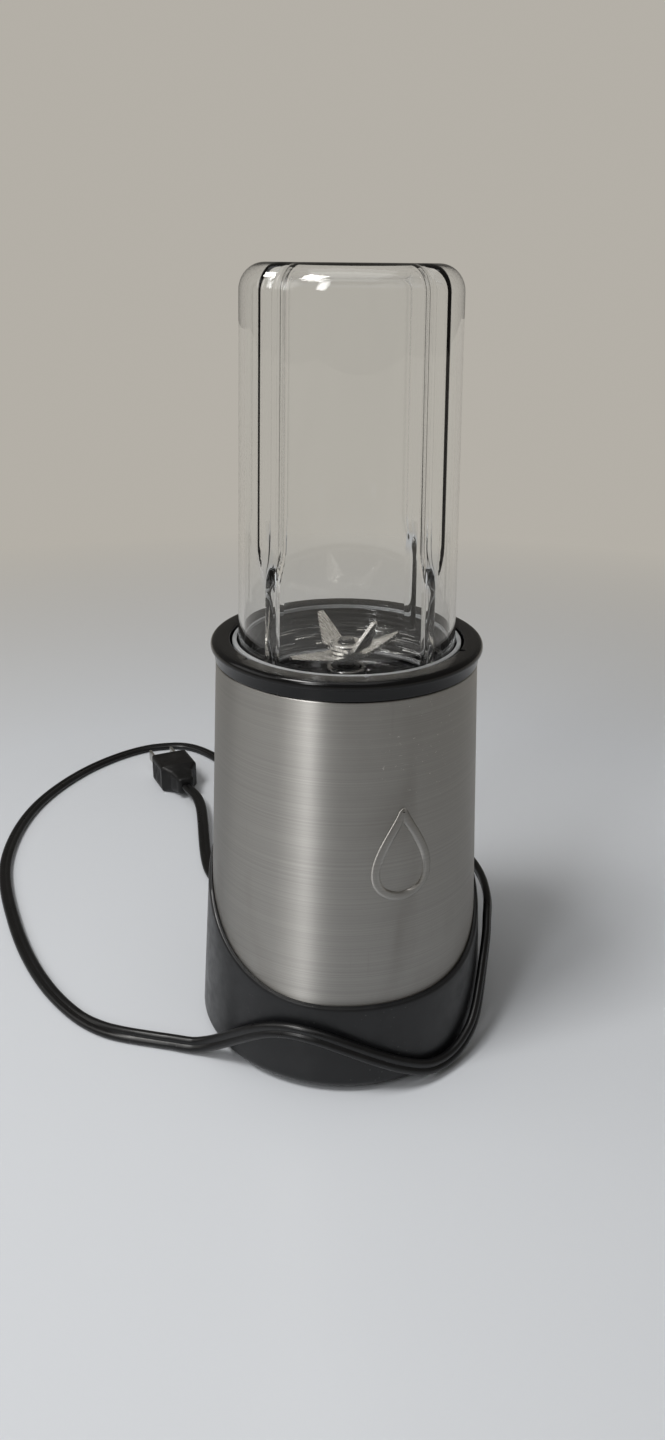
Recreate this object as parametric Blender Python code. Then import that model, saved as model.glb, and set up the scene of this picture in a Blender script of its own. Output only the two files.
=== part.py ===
"""Countertop blender with an upturned clear cup, modelled as separate sub-parts.

Frame: origin at the bottom centre, +Z up, -Y is the front, where the skirt is lowest.  Metres.
"""
import math

import bmesh
import bpy
from mathutils import Matrix, Vector

# ---------------------------------------------------------------- driving sizes
GAP = 0.0003                  # clearance between pieces that touch or run in each other

# overall
OVERALL_HEIGHT = 0.2844       # floor to the closed end of the cup
RING_TOP = 0.1603             # height of the flat top of the ring
SLEEVE_TOP = 0.1527           # height of the upper edge of the steel
SLEEVE_BOTTOM = 0.022
FOOT_HEIGHT = 0.0020

# steel sleeve
SLEEVE_MID_R = 0.0512         # outer radius at SLEEVE_MID_Z
SLEEVE_MID_Z = 0.0705
SLEEVE_TAPER = 0.046          # radius lost for each metre of height
SLEEVE_WALL = 0.0008

# skirt
SKIRT_STAND = 0.00276         # how far it stands out from the sleeve's line, at the floor
SKIRT_TAPER = 0.065
SKIRT_EDGE_R = 0.0030         # rounding of the bottom edge
SKIRT_LIP = 0.0005            # chamfer of the upper edge
SKIRT_WALL = 0.0034           # below the sleeve
RIM_LOW = 0.0366              # height of the skirt's rim at the front
RIM_RISE = 0.052
RIM_SHAPE = 2.4
RIM_POWER = 1.9

# top ring and well
RING_OVERHANG = 0.00168       # how far the ring stands out past the sleeve
RING_WIDTH = 0.0069           # from its outer edge to its mouth
RING_EDGE_R = 0.0018
RING_LIP_HEIGHT = 0.0030
RING_BAND_STEP = 0.00048      # how far the band under the lip stands out past the sleeve
NOTCH_COUNT = 6
NOTCH_WIDTH = 0.0040
NOTCH_DEPTH = 0.0016
WELL_WALL = 0.0018
WELL_FLOOR = 0.1290           # upper face of the well's floor
WELL_FLOOR_THICKNESS = 0.0025
WELL_HOLE_R = 0.0150
CAM_RING_HEIGHT = 0.0030
CAM_RING_WIDTH = 0.0070

# blade collar
COLLAR_CLEARANCE = 0.0013     # between the collar and the well
COLLAR_WALL = 0.0014
COLLAR_TOP = 0.1586
COLLAR_FLOOR = 0.1375         # lower face of the collar's floor
COLLAR_FLOOR_THICKNESS = 0.0025
LUG_COUNT = 4
LUG_WIDTH = 0.0060
LUG_ANGLE = 35.5              # degrees from the front, as the cup's grooves

# cup
CUP_CLEARANCE = 0.00057       # between the cup's mouth and the collar
CUP_TAPER = 0.0248
CUP_WALL = 0.0020
CUP_TOP_WALL = 0.0020
CUP_CORNER_R = 0.0085
GROOVE_COUNT = 4
GROOVE_ANGLE = 35.5           # degrees from the front
GROOVE_HALF_ANGLE = 8.0
GROOVE_DEPTH = 0.0026
GROOVE_END = 0.1840           # where the grooves run out
RIB_END = 0.1540              # lower end of the inner ribs
RIB_WIDTH = 0.0050
GASKET_HEIGHT = 0.0016

# blade unit
SHAFT_R = 0.0030
SHAFT_BOTTOM = 0.1245
HOUSING_R = 0.0075
HOUSING_WALL = 0.0020
HOUSING_FLANGE_R = 0.0110
HOUSING_FLANGE = 0.0015
HOUSING_TOP = 0.1490
HOUSING_BOTTOM = 0.1290
NUT_R = 0.0110
NUT_HEIGHT = 0.0030
BUSH_HEIGHT = 0.0045
SEAL_HEIGHT = 0.0018
BLADE_THICKNESS = 0.0013
LOWER_BLADE_Z = 0.1526        # lower face of the lower blade
BLADE_SPACER = 0.0010
HUB_WASHER = 0.0009
HUB_R = 0.0058
LOWER_BLADE_REACH = 0.0260
LOWER_BLADE_RISE = 0.0010
UPPER_BLADE_REACH = 0.0150
UPPER_BLADE_RISE = 0.0112
UPPER_BLADE_ANGLE = 26.0      # degrees of the upper blade's long axis from the front
LOWER_BLADE_ANGLE = 112.0

# couplings
COUPLING_R = 0.0110
COUPLING_DISC = 0.0030
DOG_HEIGHT = 0.0040
DOG_COUNT = 4
DOG_ANGLE = 20.0

# interlock
PLUNGER_R = 0.0020
PLUNGER_INSET = 0.0025        # from the cam ring's inner edge to the plunger's middle
PLUNGER_ANGLE = -9.5
PLUNGER_FLANGE_R = 0.0036
PLUNGER_TRAVEL = 0.0012
LOCK_ANGLE = 20.0
SWITCH_TOP = 0.1115
SWITCH_HEIGHT = 0.0100
SWITCH_LENGTH = 0.0140
SWITCH_WIDTH = 0.0060
POST_THICKNESS = 0.0030
SPRING_WIRE_R = 0.00035
SPRING_TURNS = 5

# emblem, a raised drop outline on the sleeve
EMBLEM_ANGLE = 12.3
EMBLEM_Z = 0.0960
EMBLEM_WIDTH = 0.0220
EMBLEM_HEIGHT = 0.0340
EMBLEM_WIRE_R = 0.0009

# motor
MOTOR_BASE = 0.0350           # lower face of the stator stack
STACK_HEIGHT = 0.0300
STACK_HALF_WIDTH = 0.0300
STACK_BORE_R = 0.0170
COIL_DEPTH = 0.0070           # height of the end turns
COIL_NEAR = 0.0160            # distance of a coil from the middle plane
COIL_FAR = 0.0220
COIL_HALF_WIDTH = 0.0240
COIL_HOLE_HALF_WIDTH = 0.0170
ARMATURE_GAP = 0.0006
ARMATURE_SLOTS = 12
WINDING_R = 0.0130
MOTOR_SHAFT_R = 0.0025
COMMUTATOR_R = 0.0085
COMMUTATOR_HEIGHT = 0.0120
BEARING_R = 0.0065
BEARING_HEIGHT = 0.0050
BRACKET_THICKNESS = 0.0030
BRACKET_HALF_WIDTH = 0.0090
BRACKET_HALF_LENGTH = 0.0330
BOLT_R = 0.0018
BOLT_OFFSET = 0.0262
BRUSH_WIDTH = 0.0050
BRUSH_HEIGHT = 0.0060
BRUSH_LENGTH = 0.0110
HOLDER_WALL = 0.0018
HOLDER_LENGTH = 0.0150
FAN_R = 0.0280
FAN_HUB_R = 0.0060
FAN_HEIGHT = 0.0060
FAN_BLADES = 9
FAN_Z = 0.0990

# bottom
COVER_THICKNESS = 0.0025
CHASSIS_Z = 0.0160
CHASSIS_THICKNESS = 0.0025
CHASSIS_HOLE_R = 0.0190
POST_R = 0.0040
FOOT_R = 0.0060
FOOT_INSET = 0.0132           # from the skirt's line at the floor to each foot's middle
SCREW_COUNT = 3
SCREW_R = 0.0015
SCREW_HEAD_R = 0.0030
SCREW_HEAD = 0.0014
SCREW_LENGTH = 0.0100
SCREW_INSET = 0.0132          # from the skirt's line at the floor to each screw's middle
VENT_COUNT = 7
VENT_WIDTH = 0.0026
VENT_PITCH = 0.0060
VENT_LENGTH = 0.0360
BOARD_SIZE = (0.0260, 0.0160, 0.0016)
MOUNT_R = 0.0045

# cord
CORD_D = 0.0060
EXIT_ANGLE = 175.0            # degrees from the front
EXIT_HEIGHT = 0.0500
RELIEF_LENGTH = 0.0220
CORD_STEP = 0.0140            # spacing of the tube's points
# Route of the cord's centre as (x, y, z) in metres, chosen by hand, from the relief to the plug.
CORD_ROUTE = [
    (0.0067, 0.0760, 0.0500), (0.0074, 0.0830, 0.0498), (0.0110, 0.0955, 0.0478),
    (0.0200, 0.1055, 0.0452), (0.0325, 0.1090, 0.0426), (0.0455, 0.1045, 0.0408),
    (0.0545, 0.0935, 0.0402), (0.0600, 0.0770, 0.0408), (0.0636, 0.0380, 0.0440),
    (0.0646, 0.0160, 0.0448), (0.0625, -0.0010, 0.0440), (0.0587, -0.0131, 0.0405),
    (0.0555, -0.0217, 0.0340), (0.0478, -0.0371, 0.0160), (0.0415, -0.0446, 0.0092),
    (0.0330, -0.0512, 0.0058), (0.0230, -0.0565, 0.0066), (0.0123, -0.0594, 0.0112),
    (0.0010, -0.0602, 0.0170), (-0.0106, -0.0589, 0.0225), (-0.0217, -0.0556, 0.0262),
    (-0.0325, -0.0500, 0.0264), (-0.0423, -0.0427, 0.0215), (-0.0600, -0.0268, 0.0060),
    (-0.0715, -0.0205, 0.0034), (-0.0990, -0.0050, 0.0032), (-0.1215, 0.0280, 0.0032),
    (-0.1380, 0.0780, 0.0032), (-0.1465, 0.1380, 0.0032), (-0.1350, 0.1960, 0.0032),
    (-0.1040, 0.2430, 0.0032), (-0.0640, 0.2660, 0.0032), (-0.0315, 0.2470, 0.0032),
    (0.0075, 0.1450, 0.0032), (0.0120, 0.1140, 0.0032), (-0.0010, 0.0890, 0.0032),
    (-0.0280, 0.0860, 0.0033), (-0.0450, 0.1080, 0.0036), (-0.0448, 0.1720, 0.0066),
    (-0.0505, 0.1940, 0.0080),
]

# plug, lying on its side at the cord's end
PLUG_LENGTH = 0.0340
PLUG_WIDTH = 0.0210
PLUG_THICKNESS = 0.0158
PLUG_NECK = 0.0090
PIN_LENGTH = 0.0160
PIN_WIDTH = 0.0063
PIN_THICKNESS = 0.0015
PIN_SPACING = 0.0127

FINE = 48                     # columns of a large turned shell
MEDIUM = 30
SMALL = 16


# ---------------------------------------------------------------- radii that follow from the sizes
def sleeve_radius(z):
    """Outer radius of the steel sleeve at height z."""
    return SLEEVE_MID_R - SLEEVE_TAPER * (z - SLEEVE_MID_Z)


def skirt_radius(z):
    """Outer radius of the skirt at height z."""
    return SKIRT_BASE_R - SKIRT_TAPER * z


def rim_height(angle):
    """Height of the skirt's rim at an angle from the front."""
    share = ((1 - math.cos(angle)) / 2) ** RIM_POWER
    return RIM_LOW + RIM_RISE * (1 - math.exp(-RIM_SHAPE * share))


def cup_radius(z):
    """Outer radius of the cup between its grooves at height z."""
    return CUP_MOUTH_R - CUP_TAPER * (z - CUP_MOUTH)


# ---------------------------------------------------------------- heights that follow from the sizes
RING_OUTER_R = sleeve_radius(SLEEVE_TOP) + RING_OVERHANG
RING_BAND_R = sleeve_radius(SLEEVE_TOP) + RING_BAND_STEP
RING_INNER_R = RING_OUTER_R - RING_WIDTH
WELL_INNER_R = RING_INNER_R + 2 * GAP
COLLAR_OUTER_R = WELL_INNER_R - COLLAR_CLEARANCE
COLLAR_INNER_R = COLLAR_OUTER_R - COLLAR_WALL
COLLAR_DECK = COLLAR_FLOOR + COLLAR_FLOOR_THICKNESS
CUP_MOUTH = COLLAR_DECK + GASKET_HEIGHT + 2 * GAP
CUP_MOUTH_R = COLLAR_INNER_R - CUP_CLEARANCE
SKIRT_BASE_R = sleeve_radius(0.0) + SKIRT_STAND
FOOT_CIRCLE_R = SKIRT_BASE_R - FOOT_INSET
SCREW_CIRCLE_R = SKIRT_BASE_R - SCREW_INSET
WELL_OUTER_R = WELL_INNER_R + WELL_WALL
WELL_TOP = SLEEVE_TOP + 0.0020
CAM_BOTTOM = WELL_FLOOR + GAP
CAM_TOP = CAM_BOTTOM + CAM_RING_HEIGHT
CAM_OUTER_R = WELL_INNER_R - GAP
CAM_INNER_R = CAM_OUTER_R - CAM_RING_WIDTH
PLUNGER_CIRCLE_R = CAM_INNER_R + PLUNGER_INSET
COVER_Z = FOOT_HEIGHT + 0.0010
STACK_TOP = MOTOR_BASE + STACK_HEIGHT
COIL_TOP = STACK_TOP + GAP + COIL_DEPTH
COIL_BOTTOM = MOTOR_BASE - GAP - COIL_DEPTH
COMMUTATOR_Z = COIL_TOP + 0.0030
UPPER_BRACKET_Z = COMMUTATOR_Z + COMMUTATOR_HEIGHT + 0.0030
LOWER_BRACKET_Z = COIL_BOTTOM - 0.0030 - BRACKET_THICKNESS
DRIVEN_Z = SHAFT_BOTTOM
DOG_BOTTOM = DRIVEN_Z - DOG_HEIGHT
DRIVE_Z = DOG_BOTTOM - GAP - COUPLING_DISC
MOTOR_SHAFT_TOP = DOG_BOTTOM - GAP
BUSH_R = HOUSING_R - HOUSING_WALL - GAP
SPACER_Z = LOWER_BLADE_Z + BLADE_THICKNESS + GAP
UPPER_BLADE_Z = SPACER_Z + BLADE_SPACER + GAP
HUB_WASHER_Z = UPPER_BLADE_Z + BLADE_THICKNESS + GAP
SHAFT_TOP = HUB_WASHER_Z + HUB_WASHER + GAP


# ---------------------------------------------------------------- materials and mesh helpers
def material(name, color, roughness, metallic=0.0, alpha=1.0):
    """A plain Principled BSDF material."""
    made = bpy.data.materials.new(name)
    made.use_nodes = True
    shader = made.node_tree.nodes["Principled BSDF"]
    shader.inputs["Base Color"].default_value = (*color, 1.0)
    shader.inputs["Roughness"].default_value = roughness
    shader.inputs["Metallic"].default_value = metallic
    shader.inputs["Alpha"].default_value = alpha
    return made


def add_object(name, bm, finish):
    """Turn a bmesh into a named object with its faces pointing out."""
    bmesh.ops.recalc_face_normals(bm, faces=bm.faces)
    mesh = bpy.data.meshes.new(name)
    bm.to_mesh(mesh)
    bm.free()
    mesh.shade_smooth()
    mesh.set_sharp_from_angle(angle=math.radians(35))
    mesh.materials.append(finish)
    made = bpy.data.objects.new(name, mesh)
    bpy.context.collection.objects.link(made)
    return made


def turned(name, profile, finish, columns=MEDIUM, angles=None):
    """Turn a closed outline of (r, z) points about Z.

    profile is a list, or a function of the angle that gives one.  A radius of 0 at the first and
    last point closes the shape on the axis; otherwise the outline closes on itself as a ring.
    The columns are evenly spaced unless their angles are given.
    """
    if angles is None:
        angles = [2 * math.pi * i / columns for i in range(columns)]
    columns = len(angles)
    outline = profile if callable(profile) else (lambda angle: profile)
    bm = bmesh.new()
    first = outline(0.0)
    on_axis = first[0][0] == 0.0
    poles = None
    if on_axis:
        poles = (bm.verts.new((0, 0, first[0][1])), bm.verts.new((0, 0, first[-1][1])))
    rows = []
    for angle in angles:
        points = outline(angle)
        if on_axis:
            points = points[1:-1]
        across, along = math.sin(angle), -math.cos(angle)
        rows.append([bm.verts.new((r * across, r * along, z)) for r, z in points])
    count = len(rows[0])
    for column in range(columns):
        here = rows[column]
        there = rows[(column + 1) % columns]
        for i in range(count - 1 if on_axis else count):
            k = (i + 1) % count
            bm.faces.new((here[i], here[k], there[k], there[i]))
        if on_axis:
            bm.faces.new((poles[0], here[0], there[0]))
            bm.faces.new((poles[1], there[-1], here[-1]))
    return add_object(name, bm, finish)


def tube(name, inner, outer, low, high, finish, columns=MEDIUM):
    """A plain ring between two radii and two heights."""
    return turned(name, [(outer, low), (outer, high), (inner, high), (inner, low)], finish, columns)


def disc(name, radius, low, high, finish, columns=SMALL):
    """A plain round bar along Z."""
    bm = bmesh.new()
    bmesh.ops.create_cone(bm, cap_ends=True, segments=columns, radius1=radius, radius2=radius,
                          depth=high - low)
    bmesh.ops.translate(bm, vec=(0, 0, (low + high) / 2), verts=bm.verts)
    return add_object(name, bm, finish)


def arc(centre_r, centre_z, radius, start, end, steps):
    """Points along an arc of an outline, angles in degrees from +R towards +Z."""
    points = []
    for i in range(steps + 1):
        angle = math.radians(start + (end - start) * i / steps)
        points.append((centre_r + radius * math.cos(angle), centre_z + radius * math.sin(angle)))
    return points


def prism(name, outline, low, high, finish):
    """Extrude an outline of (x, y) points from one height to another."""
    bm = bmesh.new()
    base = bm.faces.new([bm.verts.new((x, y, low)) for x, y in outline])
    top = bmesh.ops.extrude_face_region(bm, geom=[base])["geom"]
    raised = [v for v in top if isinstance(v, bmesh.types.BMVert)]
    bmesh.ops.translate(bm, vec=(0, 0, high - low), verts=raised)
    return add_object(name, bm, finish)


def block(name, size, finish, bevel=0.0):
    """A box centred on its origin, with its edges bevelled where asked."""
    bm = bmesh.new()
    bmesh.ops.create_cube(bm, size=1.0)
    bmesh.ops.scale(bm, vec=size, verts=bm.verts)
    if bevel:
        bmesh.ops.bevel(bm, geom=bm.edges, offset=bevel, segments=1, affect="EDGES")
    return add_object(name, bm, finish)


def polar(radius, degrees, z=0.0):
    """A point at a radius and an angle from the front, towards +X."""
    angle = math.radians(degrees)
    return Vector((radius * math.sin(angle), -radius * math.cos(angle), z))


def place(made, location, degrees=0.0):
    """Put an object at a location, turned about Z."""
    made.location = location
    made.rotation_euler = (0, 0, math.radians(degrees))
    return made


def boolean(target, cutter, operation="DIFFERENCE"):
    """Add an exact Boolean and hide its cutter."""
    modifier = target.modifiers.new(cutter.name, "BOOLEAN")
    modifier.operation = operation
    modifier.object = cutter
    modifier.solver = "EXACT"
    cutter.hide_render = True
    cutter.display_type = "WIRE"


def smooth_route(points, step):
    """Points about a step apart on a smooth curve through the route's own points."""
    route = [Vector(p) for p in points]
    route = [2 * route[0] - route[1]] + route + [2 * route[-1] - route[-2]]
    dense = []
    for i in range(1, len(route) - 2):
        a, b, c, d = route[i - 1:i + 3]
        for k in range(12):
            t = k / 12
            dense.append(0.5 * (2 * b + (c - a) * t + (2 * a - 5 * b + 4 * c - d) * t * t
                                + (3 * b - a - 3 * c + d) * t ** 3))
    dense.append(route[-2])
    lengths = [0.0]
    for a, b in zip(dense, dense[1:]):
        lengths.append(lengths[-1] + (b - a).length)
    count = max(2, round(lengths[-1] / step))
    result = []
    i = 0
    for k in range(count + 1):
        goal = lengths[-1] * k / count
        while i < len(lengths) - 2 and lengths[i + 1] < goal:
            i += 1
        share = (goal - lengths[i]) / (lengths[i + 1] - lengths[i])
        result.append(dense[i].lerp(dense[i + 1], share))
    return result


# ---------------------------------------------------------------- finishes
CLEAR = material("clear_plastic", (0.86, 0.88, 0.87), 0.12, alpha=0.25)
STEEL = material("brushed_steel", (0.50, 0.48, 0.45), 0.34, 1.0)
BLADE_STEEL = material("blade_steel", (0.56, 0.55, 0.53), 0.25, 1.0)
BLACK = material("black_plastic", (0.012, 0.013, 0.015), 0.38)
GLOSS = material("gloss_black_plastic", (0.010, 0.010, 0.011), 0.15)
RUBBER = material("black_rubber", (0.015, 0.015, 0.015), 0.7)
SEAL = material("grey_rubber", (0.30, 0.31, 0.31), 0.6)
IRON = material("laminated_iron", (0.20, 0.19, 0.18), 0.5, 1.0)
COPPER = material("enamelled_copper", (0.45, 0.17, 0.06), 0.35, 1.0)
ZINC = material("zinc_plate", (0.55, 0.55, 0.52), 0.35, 1.0)
BRONZE = material("sintered_bronze", (0.42, 0.28, 0.13), 0.45, 1.0)
CARBON = material("carbon", (0.03, 0.03, 0.03), 0.6)
BOARD = material("circuit_board", (0.03, 0.14, 0.06), 0.5)
WHITE = material("white_plastic", (0.75, 0.74, 0.70), 0.4)


# ---------------------------------------------------------------- base
def make_skirt():
    """The black skirt, with a rim that is low at the front and rises round the back."""
    inner_low = SLEEVE_BOTTOM - GAP

    def outline(angle):
        rim = rim_height(angle)
        edge_z = FOOT_HEIGHT + SKIRT_EDGE_R
        edge = arc(skirt_radius(edge_z) - SKIRT_EDGE_R, edge_z, SKIRT_EDGE_R, -90, 0, 3)
        return edge + [
            (skirt_radius(rim - SKIRT_LIP), rim - SKIRT_LIP),
            (skirt_radius(rim) - SKIRT_LIP, rim),
            (sleeve_radius(rim) + GAP, rim),
            (sleeve_radius(inner_low) + GAP, inner_low),
            (skirt_radius(inner_low) - SKIRT_WALL, inner_low),
            (skirt_radius(FOOT_HEIGHT) - SKIRT_WALL, FOOT_HEIGHT),
        ]

    skirt = turned("base_skirt", outline, BLACK, FINE)
    hole = disc("relief_hole", CORD_D / 2 + 0.0025 + GAP, -0.010, 0.010, BLACK, 16)
    hole.matrix_world = facing(polar(skirt_radius(EXIT_HEIGHT), EXIT_ANGLE, EXIT_HEIGHT), EXIT_ANGLE)
    boolean(skirt, hole)
    return skirt


def facing(point, degrees):
    """A placement whose Z axis points outwards at an angle from the front."""
    rotation = polar(1.0, degrees).to_track_quat("Z", "Y").to_matrix().to_4x4()
    return Matrix.Translation(point) @ rotation


def make_sleeve():
    """The tapered steel sleeve."""
    sleeve = turned("steel_sleeve", [
        (sleeve_radius(SLEEVE_BOTTOM), SLEEVE_BOTTOM),
        (sleeve_radius(SLEEVE_TOP), SLEEVE_TOP),
        (sleeve_radius(SLEEVE_TOP) - SLEEVE_WALL, SLEEVE_TOP),
        (sleeve_radius(SLEEVE_BOTTOM) - SLEEVE_WALL, SLEEVE_BOTTOM),
    ], STEEL, FINE)
    hole = disc("sleeve_relief_hole", CORD_D / 2 + 0.0025 + GAP, -0.010, 0.010, BLACK, 16)
    hole.matrix_world = facing(polar(skirt_radius(EXIT_HEIGHT), EXIT_ANGLE, EXIT_HEIGHT), EXIT_ANGLE)
    boolean(sleeve, hole)


def make_top_ring():
    """The black ring on the sleeve's upper edge, with small notches round its mouth."""
    lip = RING_TOP - RING_LIP_HEIGHT
    band_bottom = SLEEVE_TOP + GAP
    spigot_r = sleeve_radius(SLEEVE_TOP) - SLEEVE_WALL - GAP
    spigot_bottom = SLEEVE_TOP - 0.0060
    ring = turned("top_ring", [
        (RING_INNER_R, WELL_TOP + GAP),
        (RING_INNER_R, RING_TOP - 0.0004),
        (RING_INNER_R + 0.0004, RING_TOP),
        *reversed(arc(RING_OUTER_R - RING_EDGE_R, RING_TOP - RING_EDGE_R, RING_EDGE_R, 0, 90, 3)),
        (RING_OUTER_R, lip),
        (RING_BAND_R, lip - 0.0003),
        (RING_BAND_R - 0.0002, band_bottom),
        (spigot_r, band_bottom),
        (spigot_r, spigot_bottom),
        (WELL_OUTER_R + GAP, spigot_bottom),
        (WELL_OUTER_R + GAP, WELL_TOP + GAP),
    ], BLACK, FINE)
    bm = bmesh.new()
    for i in range(NOTCH_COUNT):
        turn = Matrix.Rotation(math.radians(-3 + 360 * i / NOTCH_COUNT), 4, "Z")
        corners = [(-NOTCH_WIDTH / 2, -RING_INNER_R + 0.0010), (NOTCH_WIDTH / 2, -RING_INNER_R + 0.0010),
                   (0.0, -RING_INNER_R - NOTCH_DEPTH)]
        low = RING_TOP - NOTCH_DEPTH
        base = bm.faces.new([bm.verts.new(turn @ Vector((x, y, low))) for x, y in corners])
        top = bmesh.ops.extrude_face_region(bm, geom=[base])["geom"]
        raised = [v for v in top if isinstance(v, bmesh.types.BMVert)]
        bmesh.ops.translate(bm, vec=(0, 0, 2 * NOTCH_DEPTH), verts=raised)
    boolean(ring, add_object("ring_notches", bm, BLACK))


def make_well():
    """The well under the ring, with a hole for the plunger and a post for its switch."""
    floor_bottom = WELL_FLOOR - WELL_FLOOR_THICKNESS
    well = turned("well_liner", [
        (WELL_HOLE_R, floor_bottom), (WELL_OUTER_R, floor_bottom), (WELL_OUTER_R, WELL_TOP),
        (WELL_INNER_R, WELL_TOP), (WELL_INNER_R, WELL_FLOOR), (WELL_HOLE_R, WELL_FLOOR),
    ], BLACK, FINE)
    post_top = WELL_FLOOR - WELL_FLOOR_THICKNESS / 2
    post_bottom = SWITCH_TOP - SWITCH_HEIGHT
    post = block("switch_post", (POST_THICKNESS, SWITCH_WIDTH, post_top - post_bottom), BLACK)
    beside = polar((SWITCH_LENGTH + POST_THICKNESS) / 2 + GAP, PLUNGER_ANGLE + 90)
    middle = polar(PLUNGER_CIRCLE_R, PLUNGER_ANGLE, (post_top + post_bottom) / 2)
    place(post, middle + beside, PLUNGER_ANGLE)
    boolean(well, post, "UNION")
    hole = disc("plunger_hole", PLUNGER_R + GAP, -0.010, 0.010, BLACK, 16)
    boolean(well, place(hole, polar(PLUNGER_CIRCLE_R, PLUNGER_ANGLE, WELL_FLOOR)))


def make_emblem():
    """A generic raised drop outline that follows the sleeve."""
    curve = bpy.data.curves.new("emblem", "CURVE")
    curve.dimensions = "3D"
    curve.bevel_depth = EMBLEM_WIRE_R
    curve.bevel_resolution = 1
    spline = curve.splines.new("POLY")
    count = 28
    spline.points.add(count - 1)
    for i in range(count):
        t = 2 * math.pi * i / count
        across = EMBLEM_WIDTH / 2 * math.sin(t) * math.sin(t / 2) ** 1.5 * 1.3
        z = EMBLEM_Z + EMBLEM_HEIGHT / 2 * math.cos(t)
        radius = sleeve_radius(z) + EMBLEM_WIRE_R + GAP
        point = polar(radius, EMBLEM_ANGLE + math.degrees(across / radius), z)
        spline.points[i].co = (*point, 1.0)
    spline.use_cyclic_u = True
    curve.materials.append(STEEL)
    bpy.context.collection.objects.link(bpy.data.objects.new("emblem", curve))


def make_bottom():
    """Vented cover, chassis with its screw posts, screws, feet and motor mounts."""
    cover_r = skirt_radius(COVER_Z) - SKIRT_WALL - 2 * GAP
    cover = disc("bottom_cover", cover_r, COVER_Z, COVER_Z + COVER_THICKNESS, BLACK, FINE)
    for i in range(VENT_COUNT):
        offset = VENT_PITCH * (i - (VENT_COUNT - 1) / 2)
        slot = block(f"vent_{i + 1}", (VENT_LENGTH, VENT_WIDTH, 0.010), BLACK)
        boolean(cover, place(slot, (0, offset, COVER_Z)))
    chassis_r = skirt_radius(CHASSIS_Z + CHASSIS_THICKNESS) - SKIRT_WALL - 2 * GAP
    chassis = turned("chassis", [
        (CHASSIS_HOLE_R, CHASSIS_Z), (chassis_r, CHASSIS_Z),
        (chassis_r, CHASSIS_Z + CHASSIS_THICKNESS), (CHASSIS_HOLE_R, CHASSIS_Z + CHASSIS_THICKNESS),
    ], BLACK, FINE)
    post_bottom = COVER_Z + COVER_THICKNESS + GAP
    for i in range(SCREW_COUNT):
        at = polar(SCREW_CIRCLE_R, 80 + 360 * i / SCREW_COUNT)
        post = disc(f"post_{i + 1}", POST_R, post_bottom, CHASSIS_Z + 0.0010, BLACK, 16)
        boolean(chassis, place(post, at), "UNION")
        hole = disc(f"screw_hole_{i + 1}", SCREW_R + GAP, COVER_Z - 0.0050,
                    COVER_Z + SCREW_LENGTH + 0.0005, BLACK, 16)
        place(hole, at)
        boolean(chassis, hole)
        boolean(cover, hole)
        screw = turned(f"cover_screw_{i + 1}", [
            (0.0, COVER_Z - GAP - SCREW_HEAD), (SCREW_HEAD_R, COVER_Z - GAP - SCREW_HEAD),
            (SCREW_HEAD_R, COVER_Z - GAP), (SCREW_R, COVER_Z - GAP),
            (SCREW_R, COVER_Z + SCREW_LENGTH), (0.0, COVER_Z + SCREW_LENGTH),
        ], ZINC, 16)
        place(screw, at)
    for i in range(4):
        foot = turned(f"foot_{i + 1}", [
            (0.0, 0.0), (FOOT_R - 0.0006, 0.0), (FOOT_R, 0.0006),
            (FOOT_R, COVER_Z - GAP), (0.0, COVER_Z - GAP),
        ], RUBBER, 20)
        place(foot, polar(FOOT_CIRCLE_R, 35 + 90 * i))
    for i, side in enumerate((-1, 1)):
        mount = disc(f"motor_mount_{i + 1}", MOUNT_R, CHASSIS_Z + CHASSIS_THICKNESS + GAP,
                     LOWER_BRACKET_Z - GAP, RUBBER, 16)
        place(mount, (side * BOLT_OFFSET, 0, 0))
    board = block("control_board", BOARD_SIZE, BOARD)
    place(board, (0.0, 0.0385, CHASSIS_Z + CHASSIS_THICKNESS + 0.0030))


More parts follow.
